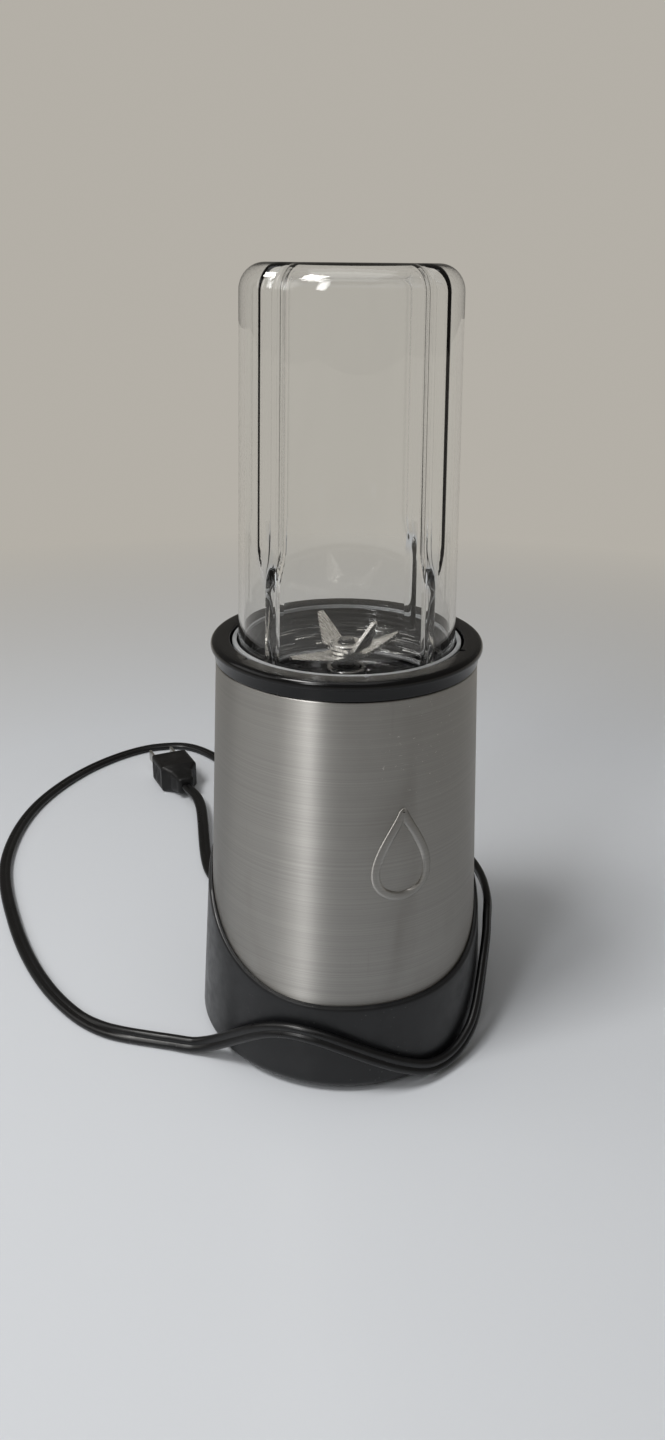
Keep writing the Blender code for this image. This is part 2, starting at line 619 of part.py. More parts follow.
# ---------------------------------------------------------------- motor
def make_stator():
    """Laminated stack with its two field coils."""
    half = STACK_HALF_WIDTH
    cut = 0.0060
    outline = [(half, -half + cut), (half, half - cut), (half - cut, half), (-half + cut, half),
               (-half, half - cut), (-half, -half + cut), (-half + cut, -half), (half - cut, -half)]
    stack = prism("stator_stack", outline, MOTOR_BASE, STACK_TOP, IRON)
    bore = disc("stack_bore", STACK_BORE_R, MOTOR_BASE - 0.005, STACK_TOP + 0.005, IRON, 32)
    boolean(stack, bore)
    coil_mid = (COIL_NEAR + COIL_FAR) / 2
    slot_size = (COIL_FAR - COIL_NEAR + 2 * GAP, COIL_HALF_WIDTH - COIL_HOLE_HALF_WIDTH + 2 * GAP,
                 STACK_HEIGHT * 2)
    slot_y = (COIL_HALF_WIDTH + COIL_HOLE_HALF_WIDTH) / 2
    for i, side in enumerate((-1, 1)):
        for k, end in enumerate((-1, 1)):
            slot = block(f"coil_slot_{i + 1}{k + 1}", slot_size, IRON)
            boolean(stack, place(slot, (side * coil_mid, end * slot_y, (MOTOR_BASE + STACK_TOP) / 2)))
        hole = disc(f"bolt_hole_{i + 1}", BOLT_R + GAP, MOTOR_BASE - 0.005, STACK_TOP + 0.005,
                    IRON, 12)
        boolean(stack, place(hole, (side * BOLT_OFFSET, 0, 0)))
        coil_size = (COIL_FAR - COIL_NEAR, 2 * COIL_HALF_WIDTH, COIL_TOP - COIL_BOTTOM)
        coil = block(f"field_coil_{i + 1}", coil_size, COPPER, 0.0015)
        place(coil, (side * coil_mid, 0, (COIL_TOP + COIL_BOTTOM) / 2))
        window_size = (0.02, 2 * COIL_HOLE_HALF_WIDTH, STACK_HEIGHT + 2 * GAP)
        window = block(f"coil_window_{i + 1}", window_size, COPPER)
        boolean(coil, place(window, (side * coil_mid, 0, (MOTOR_BASE + STACK_TOP) / 2)))


def make_brackets():
    """Upper and lower motor brackets with their bearings and the two long bolts."""
    across = BRACKET_HALF_WIDTH
    reach = BRACKET_HALF_LENGTH
    short = HOLDER_LENGTH + COMMUTATOR_R
    cross = [(reach, -across), (reach, across), (across, across), (across, short), (-across, short),
             (-across, across), (-reach, across), (-reach, -across), (-across, -across), (-across, -short),
             (across, -short), (across, -across)]
    bar = [(reach, -across), (reach, across), (-reach, across), (-reach, -across)]
    brackets = (("lower_bracket", bar, LOWER_BRACKET_Z), ("upper_bracket", cross, UPPER_BRACKET_Z))
    for name, outline, z in brackets:
        bracket = prism(name, outline, z, z + BRACKET_THICKNESS, ZINC)
        middle = z + BRACKET_THICKNESS / 2
        hole = disc(name + "_hole", BEARING_R + GAP, middle - 0.01, middle + 0.01, ZINC, MEDIUM)
        boolean(bracket, hole)
        for i, side in enumerate((-1, 1)):
            bolt_hole = disc(f"{name}_bolt_hole_{i + 1}", BOLT_R + GAP, middle - 0.01,
                             middle + 0.01, ZINC, 12)
            boolean(bracket, place(bolt_hole, (side * BOLT_OFFSET, 0, 0)))
        bearing = name.replace("bracket", "bearing")
        tube(bearing, MOTOR_SHAFT_R + GAP, BEARING_R, middle - BEARING_HEIGHT / 2,
             middle + BEARING_HEIGHT / 2, BRONZE, 24)
    for i, side in enumerate((-1, 1)):
        bolt_top = UPPER_BRACKET_Z + BRACKET_THICKNESS + GAP
        bolt = turned(f"motor_bolt_{i + 1}", [
            (0.0, LOWER_BRACKET_Z), (BOLT_R, LOWER_BRACKET_Z), (BOLT_R, bolt_top),
            (BOLT_R + 0.0015, bolt_top), (BOLT_R + 0.0015, bolt_top + 0.0018), (0.0, bolt_top + 0.0018),
        ], ZINC, 12)
        place(bolt, (side * BOLT_OFFSET, 0, 0))


def make_brushes():
    """Carbon brushes in their holders, on either side of the commutator."""
    z = COMMUTATOR_Z + COMMUTATOR_HEIGHT / 2
    for i, side in enumerate((-1, 1)):
        near = COMMUTATOR_R + 0.0020
        low = z - BRUSH_HEIGHT / 2 - HOLDER_WALL
        outer = (BRUSH_WIDTH + 2 * HOLDER_WALL, HOLDER_LENGTH, UPPER_BRACKET_Z - GAP - low)
        holder = block(f"brush_holder_{i + 1}", outer, GLOSS, 0.0006)
        place(holder, (0, side * (near + HOLDER_LENGTH / 2), low + outer[2] / 2))
        bore = block(f"brush_bore_{i + 1}", (BRUSH_WIDTH + 2 * GAP, 0.05, BRUSH_HEIGHT + 2 * GAP), GLOSS)
        boolean(holder, place(bore, (0, side * (near + HOLDER_LENGTH / 2), z)))
        brush = block(f"carbon_brush_{i + 1}", (BRUSH_WIDTH, BRUSH_LENGTH, BRUSH_HEIGHT), CARBON, 0.0004)
        place(brush, (0, side * (COMMUTATOR_R + 2 * GAP + BRUSH_LENGTH / 2), z))


def make_rotor():
    """Everything that turns with the motor shaft."""
    disc("motor_shaft", MOTOR_SHAFT_R, LOWER_BRACKET_Z - 0.0020, MOTOR_SHAFT_TOP, ZINC, 24)
    bore = MOTOR_SHAFT_R + GAP
    core_r = STACK_BORE_R - ARMATURE_GAP
    step = 2 * math.pi / ARMATURE_SLOTS

    def slotted(angle):
        nearest = abs((angle / step) - round(angle / step))
        radius = core_r - (0.0025 if nearest < 0.01 else 0.0)
        return [(radius, MOTOR_BASE), (radius, STACK_TOP), (bore, STACK_TOP), (bore, MOTOR_BASE)]

    turned("armature_core", slotted, IRON, ARMATURE_SLOTS * 3)
    tube("armature_winding", bore, WINDING_R, STACK_TOP + GAP, COIL_TOP, COPPER, 24)
    tube("commutator", bore, COMMUTATOR_R, COMMUTATOR_Z, COMMUTATOR_Z + COMMUTATOR_HEIGHT, COPPER, 24)
    make_fan(bore)
    make_coupling("drive_coupling", DRIVE_Z, bore, 45.0, 1)


def make_fan(bore):
    """Cooling fan: a hub, a disc and straight radial blades."""
    base = 0.0012

    def outline(angle):
        blade = round(FAN_BLADES * 4 * angle / (2 * math.pi)) % 4 == 0
        height = FAN_HEIGHT if blade else base
        return [(FAN_R, FAN_Z), (FAN_R, FAN_Z + height), (FAN_HUB_R + 0.0030, FAN_Z + height),
                (FAN_HUB_R, FAN_Z + FAN_HEIGHT), (bore, FAN_Z + FAN_HEIGHT), (bore, FAN_Z)]

    turned("cooling_fan", outline, WHITE, FAN_BLADES * 4)


def make_coupling(name, z, bore, turn, side):
    """A disc with dogs on one side: side is 1 for dogs on top and -1 for dogs below."""
    steps = 36
    half = DOG_ANGLE / 2

    def outline(angle):
        from_dog = (math.degrees(angle) - turn) % (360 / DOG_COUNT)
        from_dog = min(from_dog, 360 / DOG_COUNT - from_dog)
        dog = DOG_HEIGHT if from_dog < half else 0.0
        low = z - (dog if side < 0 else 0.0)
        high = z + COUPLING_DISC + (dog if side > 0 else 0.0)
        inner = bore + 0.0024
        hub_low = z
        hub_high = z + COUPLING_DISC
        step_r = inner + 0.0004
        return [(COUPLING_R, low), (COUPLING_R, high), (step_r, high), (inner, hub_high), (bore, hub_high),
                (bore, hub_low), (inner, hub_low), (step_r, low)]

    turned(name, outline, RUBBER if side < 0 else GLOSS, steps)


# ---------------------------------------------------------------- interlock
def make_cam_ring():
    """Ring that the collar's lugs turn; a ramp under it presses the plunger."""
    ring = tube("cam_ring", CAM_INNER_R, CAM_OUTER_R, CAM_BOTTOM, CAM_TOP, WHITE, FINE)
    notch_near = COLLAR_INNER_R - 2 * GAP
    for i in range(LUG_COUNT):
        notch = block(f"cam_notch_{i + 1}", (LUG_WIDTH + 4 * GAP, 0.0080, 0.020), WHITE)
        angle = LUG_ANGLE + 360 * i / LUG_COUNT
        boolean(ring, place(notch, polar(notch_near + 0.0040, angle, CAM_TOP), angle))
    boolean(ring, make_ramp())


def make_ramp():
    """Cutter under the cam ring: full depth over the plunger, running out to nothing behind it."""
    near = CAM_INNER_R - 0.0010
    far = PLUNGER_CIRCLE_R + PLUNGER_R + 2 * GAP
    lead = 5.0
    trail = LOCK_ANGLE + 3.0
    bm = bmesh.new()
    rows = []
    for i in range(8):
        turn = lead - (lead + trail) * i / 7
        depth = PLUNGER_TRAVEL * min(1.0, (trail + turn) / trail) + GAP
        rows.append([bm.verts.new(polar(radius, PLUNGER_ANGLE + turn, CAM_BOTTOM + z))
                     for radius, z in ((near, -0.001), (far, -0.001), (far, depth), (near, depth))])
    for here, there in zip(rows, rows[1:]):
        for k in range(4):
            bm.faces.new((here[k], here[(k + 1) % 4], there[(k + 1) % 4], there[k]))
    bm.faces.new(rows[0])
    bm.faces.new(reversed(rows[-1]))
    return add_object("cam_ramp", bm, WHITE)


def make_plunger():
    """Sprung plunger through the well's floor, over its switch."""
    tip = CAM_BOTTOM + PLUNGER_TRAVEL - GAP
    flange_top = WELL_FLOOR - WELL_FLOOR_THICKNESS - 2 * GAP
    flange_bottom = flange_top - 0.0014
    spring_r = (PLUNGER_R + PLUNGER_FLANGE_R) / 2 + GAP
    at = polar(PLUNGER_CIRCLE_R, PLUNGER_ANGLE)
    bottom = SWITCH_TOP + PLUNGER_TRAVEL + 2 * GAP
    plunger = turned("interlock_plunger", [
        (0.0, bottom), (PLUNGER_R, bottom), (PLUNGER_R, flange_bottom), (PLUNGER_FLANGE_R, flange_bottom),
        (PLUNGER_FLANGE_R, flange_top), (PLUNGER_R, flange_top), (PLUNGER_R, tip - 0.0006),
        (PLUNGER_R - 0.0006, tip), (0.0, tip),
    ], WHITE, 16)
    place(plunger, at)
    switch = block("microswitch", (SWITCH_LENGTH, SWITCH_WIDTH, SWITCH_HEIGHT), GLOSS, 0.0005)
    place(switch, at + Vector((0, 0, SWITCH_TOP - SWITCH_HEIGHT / 2)), PLUNGER_ANGLE)
    low = SWITCH_TOP + SPRING_WIRE_R + GAP
    high = flange_bottom - SPRING_WIRE_R - GAP
    curve = bpy.data.curves.new("plunger_spring", "CURVE")
    curve.dimensions = "3D"
    curve.bevel_depth = SPRING_WIRE_R
    curve.bevel_resolution = 0
    curve.use_fill_caps = True
    spline = curve.splines.new("POLY")
    count = SPRING_TURNS * 8
    spline.points.add(count)
    for k in range(count + 1):
        turn = 2 * math.pi * k / 8
        z = low + (high - low) * k / count
        spline.points[k].co = (spring_r * math.cos(turn), spring_r * math.sin(turn), z, 1.0)
    curve.materials.append(ZINC)
    spring = bpy.data.objects.new("plunger_spring", curve)
    bpy.context.collection.objects.link(spring)
    place(spring, at)


# ---------------------------------------------------------------- cup and blade unit
def make_collar():
    """Blade collar: floor, wall round the cup's mouth, and the lugs that turn the cam ring."""
    wall_bottom = CAM_TOP + GAP
    collar = turned("blade_collar", [
        (HOUSING_R + GAP, COLLAR_FLOOR), (COLLAR_INNER_R, COLLAR_FLOOR), (COLLAR_INNER_R, wall_bottom),
        (COLLAR_OUTER_R, wall_bottom), (COLLAR_OUTER_R, COLLAR_TOP - 0.0006),
        (COLLAR_OUTER_R - 0.0004, COLLAR_TOP), (COLLAR_INNER_R, COLLAR_TOP),
        (COLLAR_INNER_R, COLLAR_DECK), (HOUSING_R + GAP, COLLAR_DECK),
    ], BLACK, FINE)
    lug_bottom = CAM_BOTTOM + 2 * GAP
    lug_top = wall_bottom + 0.0020
    for i in range(LUG_COUNT):
        angle = LUG_ANGLE + 360 * i / LUG_COUNT
        lug = block(f"lug_{i + 1}", (LUG_WIDTH, COLLAR_WALL - 2 * GAP, lug_top - lug_bottom), BLACK)
        at = polar(COLLAR_OUTER_R - COLLAR_WALL / 2 - 0.0001, angle, (lug_top + lug_bottom) / 2)
        boolean(collar, place(lug, at, angle), "UNION")


def make_blade_unit():
    """Housing, bushes, seal, shaft, blades and the coupling under them."""
    bore = HOUSING_R - HOUSING_WALL
    turned("bearing_housing", [
        (bore, HOUSING_BOTTOM), (HOUSING_R, HOUSING_BOTTOM), (HOUSING_R, COLLAR_DECK + GAP),
        (HOUSING_FLANGE_R, COLLAR_DECK + GAP), (HOUSING_FLANGE_R, COLLAR_DECK + GAP + HOUSING_FLANGE),
        (HOUSING_R, COLLAR_DECK + GAP + HOUSING_FLANGE), (HOUSING_R, HOUSING_TOP - 0.0010),
        (HOUSING_R - 0.0010, HOUSING_TOP), (bore, HOUSING_TOP),
    ], ZINC, MEDIUM)
    nut_top = COLLAR_FLOOR - GAP

    def hexagon(angle):
        flat = math.radians(60)
        from_flat = (angle + flat / 2) % flat - flat / 2
        radius = NUT_R * math.cos(flat / 2) / math.cos(from_flat)
        return [(HOUSING_R + GAP, nut_top - NUT_HEIGHT), (radius, nut_top - NUT_HEIGHT), (radius, nut_top),
                (HOUSING_R + GAP, nut_top)]

    turned("housing_nut", hexagon, ZINC, MEDIUM - MEDIUM % 6)
    inner = SHAFT_R + GAP
    seal_top = HOUSING_TOP - 0.0003
    seal_bottom = seal_top - SEAL_HEIGHT
    tube("shaft_seal", inner, BUSH_R, seal_bottom, seal_top, RUBBER, SMALL)
    tube("upper_bush", inner, BUSH_R, seal_bottom - GAP - BUSH_HEIGHT, seal_bottom - GAP, BRONZE, SMALL)
    tube("lower_bush", inner, BUSH_R, HOUSING_BOTTOM, HOUSING_BOTTOM + BUSH_HEIGHT, BRONZE, SMALL)
    disc("blade_shaft", SHAFT_R, SHAFT_BOTTOM, SHAFT_TOP, ZINC, SMALL)
    make_blade("lower_blade", LOWER_BLADE_Z, LOWER_BLADE_REACH, LOWER_BLADE_RISE, LOWER_BLADE_ANGLE)
    tube("blade_spacer", inner, HUB_R, SPACER_Z, SPACER_Z + BLADE_SPACER, ZINC, SMALL)
    make_blade("upper_blade", UPPER_BLADE_Z, UPPER_BLADE_REACH, UPPER_BLADE_RISE, UPPER_BLADE_ANGLE)
    tube("hub_washer", inner, HUB_R, HUB_WASHER_Z, HUB_WASHER_Z + HUB_WASHER, ZINC, SMALL)
    make_coupling("driven_coupling", DRIVEN_Z, inner, 0.0, -1)


def make_blade(name, z, reach, rise, degrees):
    """A two-armed blade: flat at the hub, its arms curving up to pointed tips."""
    bm = bmesh.new()
    steps = 14
    flat = 0.0062
    rows = []
    for i in range(steps + 1):
        across = -1 + 2 * i / steps
        x = reach * across
        beyond = max(0.0, abs(x) - flat) / (reach - flat)
        height = rise * beyond ** 1.4
        front = 0.0058 - 0.0040 * beyond
        back = 0.0058 - 0.0026 * beyond
        if across < 0:
            front, back = back, front
        rows.append([bm.verts.new((x, y, z + height + up)) for y, up in
                     ((-front, 0.0), (back, 0.0), (back, BLADE_THICKNESS), (-front, BLADE_THICKNESS))])
    for here, there in zip(rows, rows[1:]):
        for k in range(4):
            bm.faces.new((here[k], here[(k + 1) % 4], there[(k + 1) % 4], there[k]))
    bm.faces.new(rows[0])
    bm.faces.new(reversed(rows[-1]))
    blade = add_object(name, bm, BLADE_STEEL)
    place(blade, (0, 0, 0), degrees - 90)
    boolean(blade, disc(name + "_hole", SHAFT_R + GAP, z - 0.005, z + 0.005, BLADE_STEEL, SMALL))


def groove_share(angle):
    """0 between the grooves and 1 along the middle of one."""
    pitch = 360 / GROOVE_COUNT
    away = (math.degrees(angle) - GROOVE_ANGLE + pitch / 2) % pitch - pitch / 2
    return max(0.0, 1 - abs(away) / GROOVE_HALF_ANGLE), math.radians(abs(away))


def make_cup():
    """The upturned cup, with its grooves, the ribs below them, and the gasket under its mouth."""
    corner_z = OVERALL_HEIGHT - CUP_CORNER_R
    inner_corner = CUP_CORNER_R - CUP_WALL
    heights = [GROOVE_END, GROOVE_END + 0.008, GROOVE_END + 0.018, corner_z]

    def outline(angle):
        share, away = groove_share(angle)
        depth = GROOVE_DEPTH * share
        ribbed = away * CUP_MOUTH_R < RIB_WIDTH * 0.55
        rib = GROOVE_DEPTH if ribbed else 0.0
        outer = [(cup_radius(CUP_MOUTH), CUP_MOUTH), (cup_radius(RIB_END), RIB_END)]
        inner = [(cup_radius(CUP_MOUTH) - CUP_WALL, CUP_MOUTH),
                 (cup_radius(RIB_END - 0.002) - CUP_WALL, RIB_END - 0.002),
                 (cup_radius(RIB_END) - CUP_WALL - rib, RIB_END)]
        for i, z in enumerate(heights):
            cut = depth * min(1.0, i / 2)
            outer.append((cup_radius(z) - cut, z))
            inner.append((cup_radius(z) - CUP_WALL - max(cut, rib * (1 - i / 3)), z))
        top_r = cup_radius(corner_z)
        outer += [(r - depth, z) for r, z in arc(top_r - CUP_CORNER_R, corner_z, CUP_CORNER_R, 22, 90, 3)]
        ceiling = OVERALL_HEIGHT - CUP_TOP_WALL - inner_corner
        inner += [(r - depth, z) for r, z in arc(top_r - CUP_CORNER_R, ceiling, inner_corner, 22, 90, 3)]
        return [(0.0, OVERALL_HEIGHT)] + outer[::-1] + inner + [(0.0, OVERALL_HEIGHT - CUP_TOP_WALL)]

    pitch = 2 * math.pi / GROOVE_COUNT
    half = math.radians(GROOVE_HALF_ANGLE)
    angles = []
    for i in range(GROOVE_COUNT):
        middle = math.radians(GROOVE_ANGLE) + pitch * i
        angles += [middle + half * k / 2 for k in range(-2, 3)]
        angles += [middle + half + (pitch - 2 * half) * k / 6 for k in range(1, 6)]
    turned("cup", outline, CLEAR, angles=angles)
    gasket_z = COLLAR_DECK + GAP
    tube("cup_gasket", cup_radius(CUP_MOUTH) - CUP_WALL - 0.0010, cup_radius(CUP_MOUTH), gasket_z,
         gasket_z + GASKET_HEIGHT, SEAL, MEDIUM)


# ---------------------------------------------------------------- cord and plug
def make_cord():
    """The cord's tube, its strain relief and clamp, and the plug on its far end."""
    route = smooth_route(CORD_ROUTE, CORD_STEP)
    curve = bpy.data.curves.new("power_cord", "CURVE")
    curve.dimensions = "3D"
    curve.bevel_depth = CORD_D / 2
    curve.bevel_resolution = 2
    curve.use_fill_caps = True
    spline = curve.splines.new("POLY")
    spline.points.add(len(route) - 1)
    for point, position in zip(spline.points, route):
        point.co = (*position, 1.0)
    curve.materials.append(BLACK)
    bpy.context.collection.objects.link(bpy.data.objects.new("power_cord", curve))

    relief_r = CORD_D / 2 + 0.0025
    exit_r = sleeve_radius(EXIT_HEIGHT) - SLEEVE_WALL - 0.0030
    tip_r = Vector(CORD_ROUTE[0]).xy.length - GAP
    length = tip_r - exit_r
    relief = turned("cord_strain_relief", [
        (0.0, 0.0), (relief_r + 0.0015, 0.0), (relief_r + 0.0015, 0.0022), (relief_r, 0.0022),
        (relief_r, length - RELIEF_LENGTH * 0.8), (CORD_D / 2 + 0.0008, length), (0.0, length),
    ], RUBBER, 20)
    relief.matrix_world = facing(polar(exit_r, EXIT_ANGLE, EXIT_HEIGHT), EXIT_ANGLE)
    clamp = block("cord_clamp", (0.0140, 0.0050, 0.0120), BLACK, 0.0006)
    place(clamp, polar(exit_r - 0.0028, EXIT_ANGLE, EXIT_HEIGHT), EXIT_ANGLE)

    end = Vector(CORD_ROUTE[-1])
    heading = (end - Vector(CORD_ROUTE[-2])).xy.normalized()
    turn = math.atan2(heading.y, heading.x)
    middle_z = PLUG_THICKNESS / 2 + 0.0001
    outline = [(0.0, -PLUG_NECK / 2), (PLUG_NECK, -PLUG_NECK / 2), (PLUG_NECK + 0.0050, -PLUG_WIDTH / 2),
               (PLUG_LENGTH, -PLUG_WIDTH / 2), (PLUG_LENGTH, PLUG_WIDTH / 2),
               (PLUG_NECK + 0.0050, PLUG_WIDTH / 2), (PLUG_NECK, PLUG_NECK / 2), (0.0, PLUG_NECK / 2)]
    plug = prism("plug_body", outline, -PLUG_THICKNESS / 2, PLUG_THICKNESS / 2, BLACK)
    start = end + Vector((heading.x, heading.y, 0)) * GAP
    plug.location = (start.x, start.y, middle_z)
    plug.rotation_euler = (0, 0, turn)
    for i, side in enumerate((-1, 1)):
        pin = block(f"plug_pin_{i + 1}", (PIN_LENGTH, PIN_THICKNESS, PIN_WIDTH), ZINC, 0.0003)
        local = Vector((PLUG_LENGTH + GAP + PIN_LENGTH / 2, side * PIN_SPACING / 2, 0))
        pin.location = plug.location + Matrix.Rotation(turn, 3, "Z") @ local
        pin.rotation_euler = (0, 0, turn)


def group(name, members):
    """Parent objects to an empty on the machine's axis."""
    empty = bpy.data.objects.new(name, None)
    bpy.context.collection.objects.link(empty)
    for member in members:
        bpy.data.objects[member].parent = empty


def main():
    """Build the whole machine."""
    for leftover in list(bpy.data.objects):
        bpy.data.objects.remove(leftover, do_unlink=True)
    make_skirt()
    make_sleeve()
    make_top_ring()
    make_well()
    make_emblem()
    make_bottom()
    make_stator()
    make_brackets()
    make_brushes()
    make_rotor()
    make_cam_ring()
    make_plunger()
    make_collar()
    make_blade_unit()
    make_cup()
    make_cord()
    group("rotor_axis", ["motor_shaft", "armature_core", "armature_winding", "commutator", "cooling_fan",
                         "drive_coupling"])
    group("blade_axis", ["blade_shaft", "lower_blade", "blade_spacer", "upper_blade", "hub_washer",
                         "driven_coupling"])
    group("lock_axis", ["cam_ring"])
    group("cup_axis", ["cup", "cup_gasket"])


main()
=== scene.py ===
"""Countertop blender: fine surfaces, finishes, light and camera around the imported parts.

Metres, +Z up, -Y is the front, where the skirt is lowest.  Angles round the machine are in degrees
from the front towards +X.
"""

import logging
import math
from dataclasses import dataclass, field
from enum import Enum
from typing import Callable, Optional

import bpy
from mathutils import Matrix, Vector


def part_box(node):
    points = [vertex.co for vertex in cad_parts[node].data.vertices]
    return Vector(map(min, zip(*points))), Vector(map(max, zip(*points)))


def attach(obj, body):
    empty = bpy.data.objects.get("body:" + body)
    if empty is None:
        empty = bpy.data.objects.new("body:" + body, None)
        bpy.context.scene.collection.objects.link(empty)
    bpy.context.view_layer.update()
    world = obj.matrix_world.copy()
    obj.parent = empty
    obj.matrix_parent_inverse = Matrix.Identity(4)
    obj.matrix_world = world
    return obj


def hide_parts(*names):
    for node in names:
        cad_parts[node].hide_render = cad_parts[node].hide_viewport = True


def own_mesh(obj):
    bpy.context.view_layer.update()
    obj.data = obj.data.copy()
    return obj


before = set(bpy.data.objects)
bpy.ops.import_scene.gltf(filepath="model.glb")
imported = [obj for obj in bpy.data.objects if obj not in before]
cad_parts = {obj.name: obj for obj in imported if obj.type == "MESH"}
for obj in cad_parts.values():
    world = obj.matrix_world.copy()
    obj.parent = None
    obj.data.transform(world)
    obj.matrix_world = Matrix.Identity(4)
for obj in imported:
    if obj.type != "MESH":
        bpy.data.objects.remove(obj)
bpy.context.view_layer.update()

FINE_COLUMNS = 256
MERGE_DISTANCE = 1e-6
Outline = list[tuple[float, float]]
Colour = tuple[float, float, float]

log = logging.getLogger("blender")


# ---------------------------------------------------------------- modelling by hand, in code
class Pick(Enum):
    """What an edit-mode selection is made of."""

    VERTICES = (True, False, False)
    EDGES = (False, True, False)
    FACES = (False, False, True)


def clear_selection() -> None:
    """Leave edit mode and deselect every object."""
    if bpy.context.object and bpy.context.object.mode != "OBJECT":
        bpy.ops.object.mode_set(mode="OBJECT")
    bpy.ops.object.select_all(action="DESELECT")


def focus(piece: bpy.types.Object) -> None:
    """Make one object the only selected one and the active one.

    Args:
        piece: The object to work on.
    """
    clear_selection()
    piece.select_set(True)
    bpy.context.view_layer.objects.active = piece


def named(name: str) -> bpy.types.Object:
    """Name the primitive that was just added, and its mesh.

    Args:
        name: The piece's name.

    Returns:
        The named primitive.
    """
    piece = bpy.context.active_object
    piece.name = piece.data.name = name
    return piece


def edit(piece: bpy.types.Object, pick: Pick = Pick.VERTICES, test: Optional[Callable] = None) -> None:
    """Enter edit mode with the elements that pass a test selected.

    Args:
        piece: The object to edit.
        pick: What the test looks at.
        test: Takes a vertex, edge or face. Without one, everything is selected.
    """
    focus(piece)
    bpy.context.tool_settings.mesh_select_mode = pick.value
    mesh = piece.data
    groups = {Pick.VERTICES: mesh.vertices, Pick.EDGES: mesh.edges, Pick.FACES: mesh.polygons}
    for group in groups.values():
        group.foreach_set("select", [False] * len(group))
    for element in groups[pick]:
        element.select = test is None or test(element)
    bpy.ops.object.mode_set(mode="EDIT")


def settle(piece: bpy.types.Object, sharp: float = 35.0) -> bpy.types.Object:
    """Merge doubles, turn the faces outwards, put the place into the mesh and shade.

    Args:
        piece: The object to settle.
        sharp: Edges turning more than this many degrees stay sharp.

    Returns:
        The same object.
    """
    edit(piece)
    bpy.ops.mesh.remove_doubles(threshold=MERGE_DISTANCE)
    bpy.ops.mesh.normals_make_consistent(inside=False)
    bpy.ops.object.mode_set(mode="OBJECT")
    bpy.ops.object.transform_apply(location=True, rotation=True, scale=True)
    bpy.ops.object.shade_smooth_by_angle(angle=math.radians(sharp))
    return piece


def refine(piece: bpy.types.Object, kind: str, **settings: object) -> bpy.types.Object:
    """Add a modifier with its settings and apply it.

    Args:
        piece: The object to refine.
        kind: The modifier's type.
        **settings: The modifier's own properties.

    Returns:
        The same object.
    """
    focus(piece)
    modifier = piece.modifiers.new(kind.lower(), kind)
    for key, value in settings.items():
        setattr(modifier, key, value)
    bpy.ops.object.modifier_apply(modifier=modifier.name)
    return piece


def combine(piece: bpy.types.Object, tool: bpy.types.Object, operation: str = "DIFFERENCE") -> None:
    """Cut, or join, a piece with a tool object, and remove the tool."""
    refine(piece, "BOOLEAN", object=tool, operation=operation, solver="EXACT")
    bpy.data.objects.remove(tool)


def reshape(piece: bpy.types.Object, move: Callable[[Vector], Vector]) -> None:
    """Move every vertex to where a function puts it.

    Args:
        piece: The piece to change.
        move: Gives a vertex's new place from its old one.
    """
    for vertex in piece.data.vertices:
        vertex.co = move(vertex.co)
    piece.data.update()


def lathe(name: str, outline: Outline, columns: int = FINE_COLUMNS) -> bpy.types.Object:
    """Draw an outline by extruding one vertex, and spin it about Z.

    Args:
        name: The piece's name.
        outline: Points as (radius, height). It closes on itself, unless it starts on the axis.
        columns: Steps of the spin.

    Returns:
        The turned piece.
    """
    points = list(outline)
    if points[0][0] > 0.0:
        points.append(points[0])
    clear_selection()
    bpy.ops.mesh.primitive_plane_add(size=0.001)
    piece = named(name)
    edit(piece)
    bpy.ops.mesh.merge(type="CENTER")
    bpy.ops.transform.translate(value=(points[0][0], 0.0, points[0][1]))
    for (r0, z0), (r1, z1) in zip(points, points[1:]):
        bpy.ops.mesh.extrude_region_move(TRANSFORM_OT_translate={"value": (r1 - r0, 0.0, z1 - z0)})
    bpy.ops.mesh.select_all(action="SELECT")
    bpy.ops.mesh.spin(steps=columns, angle=2 * math.pi, center=(0, 0, 0), axis=(0, 0, 1))
    return settle(piece)


def rod(name: str, radius: float, low: float, high: float, round_over: float = 0.0,
        columns: int = 48) -> bpy.types.Object:
    """A round bar along Z with rounded end edges.

    Args:
        name: The piece's name.
        radius: Its radius.
        low: Height of its lower end.
        high: Height of its upper end.
        round_over: Width of the rounding of both end edges.
        columns: Number of sides.

    Returns:
        The bar.
    """
    clear_selection()
    bpy.ops.mesh.primitive_cylinder_add(vertices=columns, radius=radius, depth=high - low,
                                        location=(0, 0, (low + high) / 2))
    piece = settle(named(name))
    if round_over:
        refine(piece, "BEVEL", width=round_over, segments=3, limit_method="ANGLE")
    return settle(piece)


def brick(name: str, size: tuple[float, float, float], at: Vector, turn: float = 0.0,
          round_over: float = 0.0) -> bpy.types.Object:
    """A box with rounded edges, turned about Z at its own centre.

    Args:
        name: The piece's name.
        size: Its three lengths.
        at: Its centre.
        turn: Angle about Z in degrees.
        round_over: Width of the rounding.

    Returns:
        The box.
    """
    clear_selection()
    bpy.ops.mesh.primitive_cube_add(size=1.0)
    piece = named(name)
    piece.scale = size
    settle(piece)
    if round_over:
        refine(piece, "BEVEL", width=round_over, segments=3, limit_method="ANGLE")
    piece.location = at
    piece.rotation_euler = (0.0, 0.0, math.radians(turn))
    return settle(piece)


def arc(centre: tuple[float, float], radius: float, start: float, end: float, steps: int) -> Outline:
    """Points of an outline along an arc.

    Args:
        centre: The arc's centre as (radius, height).
        radius: The arc's own radius.
        start: First angle in degrees, from outwards towards up.
        end: Last angle.
        steps: Number of steps between them.

    Returns:
        The points, both ends included.
    """
    angles = [math.radians(start + (end - start) * i / steps) for i in range(steps + 1)]
    return [(centre[0] + radius * math.cos(a), centre[1] + radius * math.sin(a)) for a in angles]


